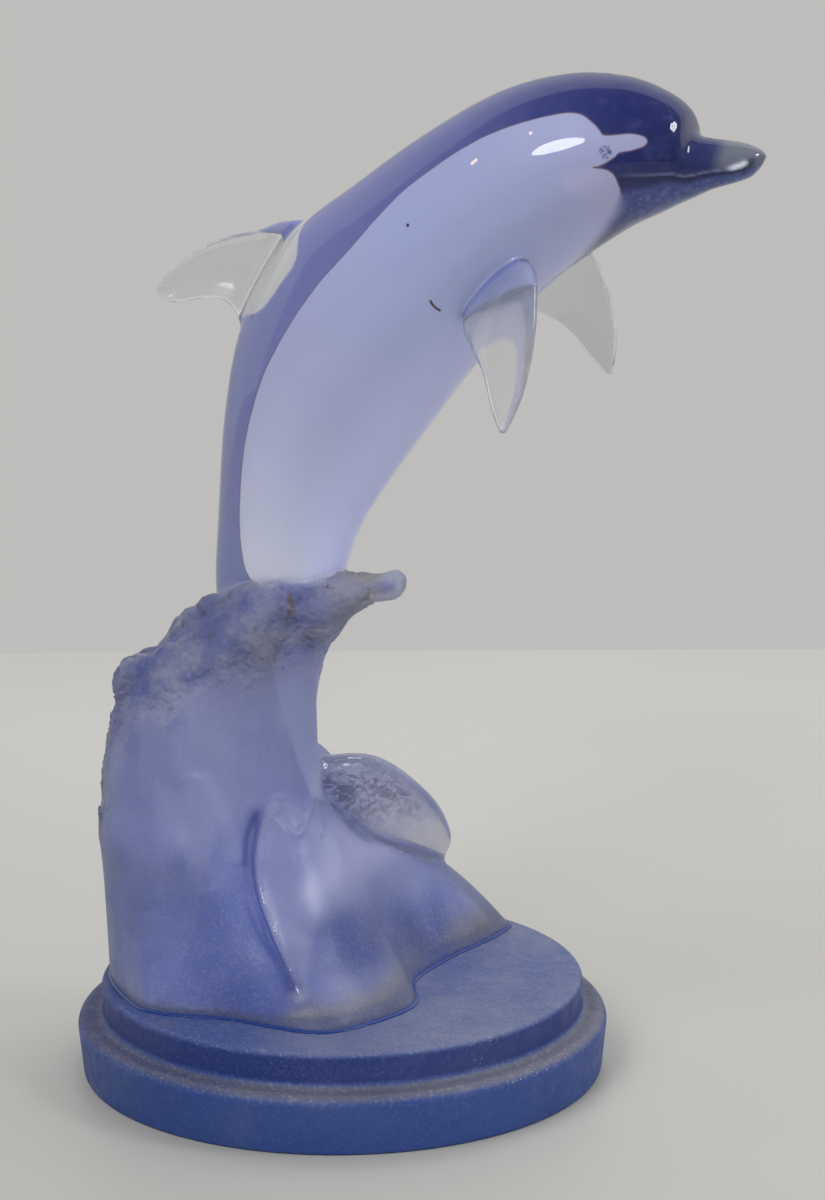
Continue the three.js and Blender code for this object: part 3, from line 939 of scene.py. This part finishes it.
# The coloured resin inside: the opal part's outline on one flank, as places along the body and
# degrees up its flank: under the chin to the eye's notch, round the lobe behind the eye, along the
# back and down at the tail.
OPAL = [
    (0.43, -90), (0.405, -76), (0.386, -65), (0.376, -57), (0.365, -49), (0.359, -41), (0.355, -34),
    (0.3535, -27), (0.355, -21), (0.358, -15), (0.362, -10.5), (0.368, -7.5), (0.374, -5.4),
    (0.3805, -3.4), (0.374, -3.4), (0.367, -2.2), (0.361, -0.5), (0.356, 1.5), (0.353, 4), (0.346, 5.4),
    (0.337, 6.6), (0.327, 9), (0.318, 11.8), (0.3135, 15.5), (0.316, 19), (0.324, 21), (0.334, 21),
    (0.346, 20), (0.360, 18.6), (0.370, 19.2), (0.374, 22.5), (0.378, 26.5), (0.384, 31), (0.390, 35),
    (0.397, 37.6), (0.406, 38.8), (0.424, 39), (0.457, 39), (0.495, 39.6), (0.525, 39), (0.543, 37.8),
    (0.559, 35.3), (0.578, 32), (0.597, 29), (0.616, 26.8), (0.637, 25.3), (0.660, 25), (0.687, 25.6),
    (0.714, 26.2), (0.743, 27), (0.765, 26.6), (0.783, 25), (0.797, 20.5), (0.808, 14), (0.815, 2),
    (0.819, -20), (0.821, -55), (0.822, -90),
]
OPAL_CLOSE = [(0.822, -99), (0.43, -99)]
# Blue resin reaches into the dorsal fin's root up to this line through x and z.
DORSAL_ROOT = [
    (-160, 806), (-130, 813), (-103, 818), (-80, 820), (-63, 821), (-51, 816), (-46, 808), (-46, 798),
    (-50, 787), (-58, 776), (-66, 765), (-75, 751), (-85, 739), (-93, 730), (-100, 724), (-106, 716),
    (-110, 700),
]
# The body stays clear below the dorsal fin within this line of its chart.
CLEAR_ROOT = [
    (0.616, 82), (0.622, 70), (0.624, 59), (0.626, 52), (0.631, 48), (0.639, 47.5), (0.646, 47.5),
    (0.654, 48), (0.662, 50), (0.669, 55), (0.674, 61), (0.681, 74), (0.686, 86),
]
CLEAR_ROOT_CLOSE = [(0.686, 99), (0.616, 99)]
# Blue resin fills the near pectoral fin's root up to a flat face: its direction and its distance.
PECTORAL_ROOT = ((0.224, 0.612, -0.758), -479.5)

# How far under the clear skin the coloured resin lies in the body and in the fins' roots.
CORE_INSET = 1.4 * MM
ROOT_INSET = 1.2 * MM
CORE_TRIANGLES = 190000
WAVE_CORE_TRIANGLES = 40000

# The eye's place along the body and degrees up it.
EYE = (0.3665, 6.0)

# Marks in the near flank: places along the body and degrees up it, radius in millimetres, colour.
MARKS = [
    ([(0.4856, 27.0), (0.4841, 27.4), (0.4824, 27.6)], 0.7, (255, 236, 214)),
    ([(0.4365, 30.15)], 0.7, (250, 232, 220)),
    ([(0.5415, 18.6)], 0.75, (50, 48, 76)),
    ([(0.5459, -22), (0.546, -23), (0.5459, -24), (0.5456, -25.1), (0.5451, -26.2), (0.5446, -27.4),
      (0.5438, -28.5),
      (0.5431, -29.6)], 0.55, (66, 48, 58)),
]


def dorsal_root(dorsal):
    """The part of the dorsal fin that holds blue resin."""
    low, values = dorsal
    x, _, z = grid_places(dorsal)
    flat = np.stack(np.meshgrid(x, z, indexing="ij"), -1).reshape(-1, 2)
    line = drawn(DORSAL_ROOT, 80)
    far, _ = along_line(flat, line)
    outline = np.vstack([line, [(40, 690), (40, 860), (-160, 860)]])
    side = np.where(inside(flat, outline), -far, far).reshape(len(x), 1, len(z)) * UNIT
    return low, np.maximum(values + ROOT_INSET, side).astype(np.float32)


def charted(points):
    """The places along the body and the degrees up its flank of points at the core's depth."""
    grids = np.meshgrid(np.linspace(0, 1, 400), np.linspace(-90, 90, 91))
    chart_t, chart_lift = (grid.ravel() for grid in grids)
    chart = under_skin(chart_t, chart_lift, CORE_INSET)
    tree = kdtree.KDTree(len(chart_t))
    for index, place in enumerate(chart.tolist()):
        tree.insert(place, index)
    tree.balance()
    nearest = np.array([tree.find(place)[1] for place in points.tolist()])
    off = points - chart[nearest]
    onward = (under_skin(chart_t + 0.001, chart_lift, CORE_INSET) - chart)[nearest] / 0.001
    around = (under_skin(chart_t, chart_lift - 0.5, CORE_INSET) - chart)[nearest] / -0.5
    dot = lambda a, b: np.sum(a * b, 1)
    onward_2, around_2, both = dot(onward, onward), dot(around, around), dot(onward, around)
    ground = np.maximum(onward_2 * around_2 - both ** 2, 1e-12)
    more_t = (dot(off, onward) * around_2 - dot(off, around) * both) / ground
    more_lift = (dot(off, around) * onward_2 - dot(off, onward) * both) / ground
    along = chart_t[nearest] + np.clip(more_t, -0.002, 0.002)
    return along, chart_lift[nearest] + np.clip(more_lift, -1.5, 1.5)


def coloured_core(trunk, dorsal, pectorals):
    """The coloured body inside the clear skin, reaching into the roots of the fins."""
    low, fins = pectorals
    x, y, z = grid_places(pectorals)
    (nx, ny, nz), reach = PECTORAL_ROOT
    beyond = nx * x[:, None, None] + ny * np.abs(y)[None, :, None] + nz * z[None, None, :] - reach
    beyond = np.where(y[None, :, None] < 0, beyond * UNIT, FAR)
    roots = low, np.maximum(fins + ROOT_INSET, beyond).astype(np.float32)
    inner = trunk[0], trunk[1] + np.float32(CORE_INSET)
    whole = joined(joined(inner, dorsal_root(dorsal), FIN_FILLET), roots, 2 * MM)
    vertices, quads, triangles = surface(whole)
    obj = decimated(as_object("coloured_core", vertices, quads, triangles), CORE_TRIANGLES)
    mesh = obj.data
    at = places(mesh)
    folded = mirrored(at)

    along, lift = charted(folded)
    outline = drawn(OPAL, 240)
    far, _ = along_line(folded, under_skin(*outline.T, CORE_INSET))
    in_chart = np.stack([along, lift], -1)
    within = inside(in_chart, np.vstack([outline, OPAL_CLOSE]))
    steep = along_line(folded, under_skin(*outline[:40].T, CORE_INSET))[0] <= far + 0.01 * MM
    write_field(mesh, "opal", np.where(within, far, -far) / MM)
    write_field(mesh, "chin", steep * step(lift, -22, -50))
    clear_root = drawn(CLEAR_ROOT, 60)
    root, _ = along_line(folded, under_skin(*clear_root.T, CORE_INSET))
    over = inside(in_chart, np.vstack([clear_root, CLEAR_ROOT_CLOSE]))
    below_fin = step(sampled(trunk, at), 0.5 * MM, -0.5 * MM)
    write_field(mesh, "root_clear", step(np.where(over, root, -root), -0.6 * MM, 0.6 * MM) * below_fin)
    write_field(mesh, "along", along)
    write_field(mesh, "lift", lift / 90)
    write_field(mesh, "cap", step(sampled(trunk, at), -0.9 * MM, -0.4 * MM))
    slit, _ = along_line(folded, under_skin(*drawn(MOUTH_SLIT, 40).T, CORE_INSET))
    lip, share = along_line(folded, under_skin(*drawn(MOUTH_LIP, 40).T, CORE_INSET))
    write_field(mesh, "slit", bell(slit, 1.7 * MM))
    # A thin painted highlight line along the upper lip.
    write_field(mesh, "lip", bell(lip, 0.45 * MM) * step(share, 0, 0.06) * step(share, 1, 0.8))
    # A painted highlight crescent where the lip curls round the beak's tip.
    write_field(mesh, "crescent_highlight", bell(lip, 1.0 * MM) * step(share, 0.66, 0.78) * step(share, 1, 0.9))
    eye = under_skin([EYE[0]], [EYE[1]], CORE_INSET)
    write_field(mesh, "eye", np.linalg.norm(folded - eye, axis=1) / MM)
    keep_normals(obj, whole, at, np.zeros(len(at)))
    mesh.materials.append(core_resin())
    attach(obj, "root")


def core_resin():
    """Opal resin on the flanks and belly against indigo resin on the back and head."""
    s = Shading("coloured_resin", Roughness=0.45, Specular_IOR_Level=0.1)
    along, lift, edge = s.field("along"), s.field("lift"), s.field("opal")
    edge = s.maths("ADD", edge, s.times(s.maths("SUBTRACT", s.noise(110, 3.0), 0.5), 0.9))
    chin = s.field("chin")
    soft = s.between(chin, 0.22, 5.0)
    opal = s.span(s.maths("DIVIDE", edge, soft), -1, 1)
    line = s.times(s.span(edge, -0.9, -0.1), s.span(edge, 0.35, 0.1))
    line = s.times(line, s.span(chin, 0.4, 0.0))
    pale = s.ramp(along, [(0.33, (158, 160, 190)), (0.42, (154, 160, 192)), (0.55, (158, 166, 200)),
                          (0.66, (166, 171, 202)), (0.72, (176, 180, 206)), (0.82, (203, 206, 216))])
    cloud = s.span(s.noise(11, 3.0), 0.35, 0.7)
    pale = s.tint(pale, (172, 172, 198), cloud, 0.3)
    patch = s.times(s.span(edge, 16, 12), s.span(along, 0.46, 0.41))
    patch = s.times(patch, s.span(lift, 0.05, -0.1))
    pale = s.tint(pale, (174, 170, 194), patch, 0.4)
    # The underside is painted lighter: painted light standing in for light from below.
    under = s.span(lift, -0.2, -0.8)
    pale = s.tint(pale, (206, 210, 244), under, 0.85)
    deep = s.ramp(along, [(0.05, (66, 76, 104)), (0.115, (50, 58, 98)), (0.16, (32, 42, 90)),
                          (0.26, (15, 26, 82)), (0.36, (24, 34, 92)), (0.43, (48, 56, 112)),
                          (0.5, (86, 92, 146)), (0.6, (108, 114, 164)), (0.8, (124, 130, 172)),
                          (0.9, (132, 138, 178))])
    mottle = s.span(s.noise(150, 5.0, 0.6), 0.45, 0.8)
    deep = s.tint(deep, (92, 100, 150), mottle, 0.18)
    jaw = s.times(s.span(lift, -0.26, -0.42), s.span(along, 0.42, 0.33))
    frosty = s.mix(s.span(s.noise(400, 4.0, 0.7), 0.4, 0.7), (60, 78, 146), (98, 112, 176))
    deep = s.tint(deep, frosty, jaw, 0.85)
    tip = s.times(s.span(along, 0.15, 0.12), s.span(lift, -0.3, -0.1))
    deep = s.tint(deep, (104, 108, 118), tip, 0.9)
    bubbles = s.times(s.specks(520, 0.18), s.span(s.noise(60, 2.0), 0.45, 0.7))
    bubbles = s.times(bubbles, s.span(along, 0.5, 0.3))
    deep = s.tint(deep, (150, 158, 200), bubbles, 0.6)
    # Painted shade in the mouth's slit.
    deep = s.tint(deep, (14, 20, 70), s.field("slit"), 0.85)
    # Painted highlight line along the upper lip.
    deep = s.tint(deep, (130, 138, 182), s.field("lip"), 0.5)
    # Painted highlight crescent at the lip's end by the beak's tip.
    deep = s.mix(s.field("crescent_highlight"), deep, (226, 232, 240))
    tone = s.mix(opal, deep, pale)
    tone = s.tint(tone, (122, 94, 96), line, 0.5)
    for spots, radius, mark in MARKS:
        near_side = under_skin(*np.array(spots).T, CORE_INSET) * [1, -1, 1]
        for spot in near_side.tolist():
            off = s.add("VectorMath", "Value", {0: s.place(), 1: tuple(spot)}, operation="DISTANCE")
            tone = s.mix(s.span(off, (radius + 0.25) * MM, (radius - 0.15) * MM), tone, mark)
    eye = s.field("eye")
    swirl = s.maths("ADD", eye, s.times(s.noise(240, 3.0, 0.6), 2.4))
    ring = s.times(s.span(swirl, 1.6, 2.6), s.span(swirl, 4.6, 3.4))
    ring = s.times(ring, s.span(s.noise(420, 4.0, 0.7), 0.42, 0.56))
    tone = s.tint(tone, (70, 72, 124), ring, 0.85)
    lead_cap = s.mix(s.span(s.noise(40, 2.0), 0.3, 0.7), (112, 126, 176), (134, 144, 184))
    of_fin = s.times(s.field("cap"), s.span(lift, 0.6, 0.4))
    tone = s.mix(s.field("root_clear"), tone, (184, 184, 184))
    tone = s.mix(of_fin, tone, lead_cap)
    s.link(tone, "Base Color")
    s.glow(0.2, (0.003, 0.003, 0.005))
    s.link(s.bump(s.noise(50, 2.0), 0.1, 0.0004), "Normal")
    return s.material


def wave_core(water):
    """The blue resin in the heart of the wave, deeper below its spreading foot."""
    low, values = water
    x, y, z = grid_places(water)
    spread = step(x, -40, 40)[:, None, None] * step(z, 330, 250)[None, None, :]
    lifted = step(z, 60, 130)[None, None, :]
    inset = (CORE_DEPTH + (MOUND_DEPTH - CORE_DEPTH) * spread * (1 - 0.3 * lifted)) * np.ones((1, len(y), 1))
    above_foot = z[None, None, :] * UNIT
    deeper = np.maximum(values + inset, CORE_LIFT - above_foot).astype(np.float32)
    vertices, quads, triangles = surface((low, deeper))
    obj = as_object("wave_core", vertices, quads, triangles)
    obj = decimated(obj, WAVE_CORE_TRIANGLES)
    figure = figured(places(obj.data))
    outline = closed_outline(FOOT)[::3]
    edge, _ = along_line(figure, np.vstack([outline, outline[:1]]))
    write_field(obj.data, "foot_edge", step(edge, 62, 26) * step(figure[:, 0], -10, 30))
    heart, _ = along_line(figure, drawn(HEART, 20))
    write_field(obj.data, "mound_heart", step(heart, 60, 26))
    write_field(obj.data, "under_fluke", beside_fluke(figure))
    obj.data.materials.append(wave_resin())
    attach(obj, "root")


def wave_resin():
    s = Shading("wave_blue_resin", Roughness=0.6, Specular_IOR_Level=0.1)
    height = s.axis("Z")
    tone = s.ramp(s.span(height, 0.043, 0.24, 0, 1, False), [
        (0.0, (44, 64, 132)), (0.35, (72, 88, 150)), (0.7, (104, 113, 158)), (1.0, (92, 96, 142)),
    ])
    tone = s.tint(tone, (106, 106, 107), s.field("foot_edge"), 0.85)
    tone = s.tint(tone, (146, 148, 182), s.field("under_fluke"), 0.8)
    tone = s.tint(tone, (36, 56, 122), s.field("mound_heart"), 0.85)
    cloud = s.span(s.noise(22, 5.0, 0.6, 0.5), 0.4, 0.7)
    tone = s.tint(tone, (146, 149, 188), cloud, 0.4)
    s.link(tone, "Base Color")
    s.glow(0.3, (0.006, 0.006, 0.01))
    s.link(s.bump(s.noise(60, 3.0), 0.2, 0.001), "Normal")
    return s.material


def plinth():
    """The stepped round plinth, turned from its profile."""
    outer = PLINTH_DIAMETER / 2
    foot = outer - LOWER_TIER_DRAFT
    inner = outer - STEP_WIDTH
    lower_edge, upper_edge = LOWER_TIER_ROUNDING, UPPER_TIER_ROUNDING

    def quarter(x, z, radius, start, end):
        turned = np.radians(np.linspace(start, end, ROUNDING_POINTS))
        return [(x + radius * math.cos(a), z + radius * math.sin(a)) for a in turned]

    profile = [
        *quarter(foot - UNDERSIDE_ROUNDING, UNDERSIDE_ROUNDING, UNDERSIDE_ROUNDING, -90, 0),
        *quarter(outer - lower_edge, LOWER_TIER_HEIGHT - lower_edge, lower_edge, 0, 90),
        *quarter(inner + STEP_COVE, LOWER_TIER_HEIGHT + STEP_COVE, STEP_COVE, -90, -180),
        *quarter(inner - upper_edge, PLINTH_HEIGHT - upper_edge, upper_edge, 0, 90),
    ]
    profile += [(radius, PLINTH_HEIGHT) for radius in (90, 60, 30, 4)]
    profile = [(4, 0), (60, 0), *profile]
    angle = round_angles(PLINTH_SIDES)
    rings = np.array([[(r * math.cos(a), r * math.sin(a), z) for a in angle] for r, z in profile]) * MM
    obj = as_object("satin_plinth", *loft(rings))
    obj.data.materials.append(base_resin())
    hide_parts("round_base")
    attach(obj, "root")


def glue_line():
    """The thin line of blue glue that shows round the foot."""
    outline = closed_outline(FOOT)
    onward = np.roll(outline, -1, 0) - np.roll(outline, 1, 0)
    out = np.cross(onward, [0, 0, 1])
    out /= np.linalg.norm(out, axis=1, keepdims=True)
    if np.sum(out * (outline - outline.mean(0))) < 0:
        out = -out
    rings = []
    for reach, height in GLUE_SECTION:
        ring = placed(outline) + out * reach * MM
        ring[:, 2] = FOOT_HEIGHT - GLUE_GAP + height * MM
        rings.append(ring)
    obj = as_object("glue_line", *loft(np.array(rings)))
    s = Shading("glue_blue_resin", Roughness=0.25)
    s.shader.inputs["Base Color"].default_value = colour(26, 52, 118)
    obj.data.materials.append(s.material)
    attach(obj, "root")


def base_resin():
    """Satin deep blue resin, sandblasted, with pale dust in a haze on its upward faces, and painted shade on
    its upper wall and left side.
    """
    s = Shading("base_resin", Specular_IOR_Level=0.4)
    up = s.add("SeparateXYZ", "Z", {0: s.add("NewGeometry", "Normal")})
    height = s.axis("Z")
    tone = s.mix(s.noise(30, 4.0), (33, 59, 118), (43, 69, 131))
    # The upper tier's wall is painted darker: painted shade near the cove.
    upper_wall_shade = s.times(s.span(height, 0.0285, 0.031), s.span(height, 0.0425, 0.04))
    tone = s.tint(tone, (22, 40, 102), upper_wall_shade, 0.8)
    dust = s.times(s.span(s.noise(14, 6.0, 0.65), 0.3, 0.7, 0.3, 1.0), s.span(up, 0.3, 0.98))
    across = s.axis("X")
    # The dust is thinned towards the left, as painted shade there.
    dust = s.times(dust, s.span(across, -0.08, 0.05, 0.15, 1.0))
    tone = s.tint(tone, (134, 134, 144), dust, 0.46)
    film = s.times(s.span(s.noise(9, 5.0, 0.6, 0.4), 0.5, 0.75), 0.14)
    tone = s.mix(film, tone, (120, 122, 140))
    flecks = s.times(s.specks(620, 0.22), s.span(s.noise(26, 3.0), 0.5, 0.62))
    off = s.add("VectorMath", "Value", {0: s.place(), 1: (0.097, -0.058, 0.035)}, operation="DISTANCE")
    flecks = s.times(flecks, s.span(off, 0.05, 0.02, 0.12, 1.0))
    flecks = s.times(flecks, s.span(height, 0.021, 0.026, 0.12, 1.0))
    tone = s.tint(tone, (222, 220, 214), flecks, 0.85)
    lower_step = s.times(s.span(up, 0.3, 0.98), s.span(height, 0.034, 0.03))
    tone = s.tint(tone, (86, 80, 70), lower_step, 0.5)
    soil = s.times(s.span(s.noise(60, 6.0, 0.75), 0.55, 0.7), s.span(up, 0.3, 0.98))
    soil = s.times(soil, s.span(across, 0.02, -0.05))
    tone = s.tint(tone, (96, 86, 84), soil, 0.35)
    grain = s.times(s.span(s.noise(650, 2.0, 0.6), 0.5, 0.7), s.span(up, -0.2, 0.9, 0.2, 1.0))
    tone = s.tint(tone, (178, 176, 174), grain, 0.17)
    # Painted shadow over the left of the upward faces.
    shaded = s.times(s.span(across, -0.06, -0.11), s.span(up, 0.3, 0.98))
    tone = s.tint(tone, (20, 36, 90), shaded, 0.6)
    s.link(tone, "Base Color")
    s.link(s.span(s.noise(140, 4.0), 0.3, 0.7, 0.42, 0.6), "Roughness")
    s.link(s.bump(s.noise(900, 3.0, 0.7), 0.5, 0.0004), "Normal")
    return s.material


# The photograph's camera: where it stands round the statue, and how its axis points.
CAMERA_DISTANCE = 1.7
CAMERA_AZIMUTH = math.radians(21)
CAMERA_ELEVATION = math.radians(20.28)
CAMERA_HEADING = math.radians(21 - 1.196)
CAMERA_PITCH = math.radians(13.08)
CAMERA_ROLL = math.radians(-0.3)
CAMERA_LENS = 108.9


def toward(azimuth, elevation):
    """A direction from the statue, azimuth 0 being the near side and 90 the dolphin's head."""
    level = math.cos(elevation)
    return Vector((math.sin(azimuth) * level, -math.cos(azimuth) * level, math.sin(elevation)))


def camera():
    data = bpy.data.cameras.new("camera")
    data.lens = CAMERA_LENS
    data.clip_end = 50
    obj = bpy.data.objects.new("camera", data)
    bpy.context.scene.collection.objects.link(obj)
    forward = -toward(CAMERA_HEADING, CAMERA_PITCH)
    right = forward.cross(Vector((0, 0, 1))).normalized()
    up = right.cross(forward)
    turned_right = right * math.cos(CAMERA_ROLL) + up * math.sin(CAMERA_ROLL)
    turned_up = up * math.cos(CAMERA_ROLL) - right * math.sin(CAMERA_ROLL)
    axes = Matrix((turned_right, turned_up, -forward)).transposed()
    place = toward(CAMERA_AZIMUTH, CAMERA_ELEVATION) * CAMERA_DISTANCE
    obj.matrix_world = Matrix.Translation(place) @ axes.to_4x4()
    bpy.context.scene.camera = obj


FLOOR_BEHIND = 0.79
FLOOR_REACH = 4.0


def floor():
    """A pale floor that ends a little behind the statue, as the studio's table does."""
    back = -toward(CAMERA_HEADING, 0)
    side = Vector((-back.y, back.x, 0))
    corners = [back * FLOOR_BEHIND - side * FLOOR_REACH, back * FLOOR_BEHIND + side * FLOOR_REACH,
               -back * FLOOR_REACH + side * FLOOR_REACH, -back * FLOOR_REACH - side * FLOOR_REACH]
    mesh = bpy.data.meshes.new("floor")
    mesh.from_pydata([tuple(c) for c in corners], [], [(0, 3, 2, 1)])
    obj = bpy.data.objects.new("floor", mesh)
    bpy.context.scene.collection.objects.link(obj)
    s = Shading("floor", Roughness=0.42, Specular_IOR_Level=0.3)
    depth = s.add("VectorMath", "Value", {0: s.place(), 1: tuple(back)}, operation="DOT_PRODUCT")
    tone = s.mix(s.span(depth, -0.35, 0.75), (168, 167, 162), (195, 194, 190))
    s.link(s.mix(s.span(s.noise(3, 3.0), 0.3, 0.7, 0, 0.3), tone, (180, 179, 174)), "Base Color")
    mesh.materials.append(s.material)


def softbox(name, azimuth, elevation, distance, width, height, power):
    data = bpy.data.lights.new(name, "AREA")
    data.shape, data.size, data.size_y, data.energy = "ELLIPSE", width, height, power
    obj = bpy.data.objects.new(name, data)
    bpy.context.scene.collection.objects.link(obj)
    middle = Vector((0.02, 0, 0.3))
    direction = toward(math.radians(azimuth), math.radians(elevation))
    obj.location = middle + direction * distance
    obj.rotation_euler = direction.to_track_quat("Z", "Y").to_euler()
    return obj


def soft_fill(name, azimuth, elevation, distance, width, power):
    """Bounced light that the gloss doesn't mirror."""
    light = softbox(name, azimuth, elevation, distance, width, width, power)
    light.visible_glossy = False
    light.visible_transmission = False


def studio():
    """A pale backdrop behind the statue, a dimmer room overhead and in front, and softboxes."""
    world = bpy.data.worlds.new("studio")
    bpy.context.scene.world = world
    world.use_nodes = True
    tree = world.node_tree
    background = tree.nodes["Background"]
    direction = tree.nodes.new("ShaderNodeTexCoord").outputs["Generated"]
    split = tree.nodes.new("ShaderNodeVectorMath")
    split.operation = "DOT_PRODUCT"
    split.inputs[1].default_value = (-0.37, 0.83, -0.42)
    tree.links.new(direction, split.inputs[0])
    ramp = tree.nodes.new("ShaderNodeValToRGB")
    tree.links.new(split.outputs["Value"], ramp.inputs[0])
    stops = [
        (0.0, (0.26, 0.26, 0.27, 1)),
        (0.03, (0.86, 0.86, 0.86, 1)),
        (0.5, (0.8, 0.8, 0.795, 1)),
        (0.8, (0.515, 0.51, 0.50, 1)),
    ]
    elements = ramp.color_ramp.elements
    while len(elements) < len(stops):
        elements.new(0.5)
    for element, (position, value) in zip(elements, stops):
        element.position, element.color = position, value
    tree.links.new(ramp.outputs[0], background.inputs["Color"])
    softbox("key_softbox", -5, 30, 1.7, 0.5, 0.4, 6)
    softbox("side_softbox", 97, 40, 1.7, 0.6, 0.3, 6)
    soft_fill("front_fill", -25, 48, 2.2, 1.6, 23)
    soft_fill("rear_fill", 165, 62, 2.0, 1.6, 18)
    soft_fill("low_fill", 50, -4, 2.0, 1.2, 12)
    soft_fill("chin_fill", 72, -11, 1.0, 0.7, 2.5)
    scene = bpy.context.scene
    scene.view_settings.view_transform = "Standard"


trunk, dorsal, pectorals = dolphin_forms()
water = water_form()
casting(trunk, dorsal, pectorals, water)
coloured_core(trunk, dorsal, pectorals)
wave_core(water)
plinth()
glue_line()
floor()
camera()
studio()
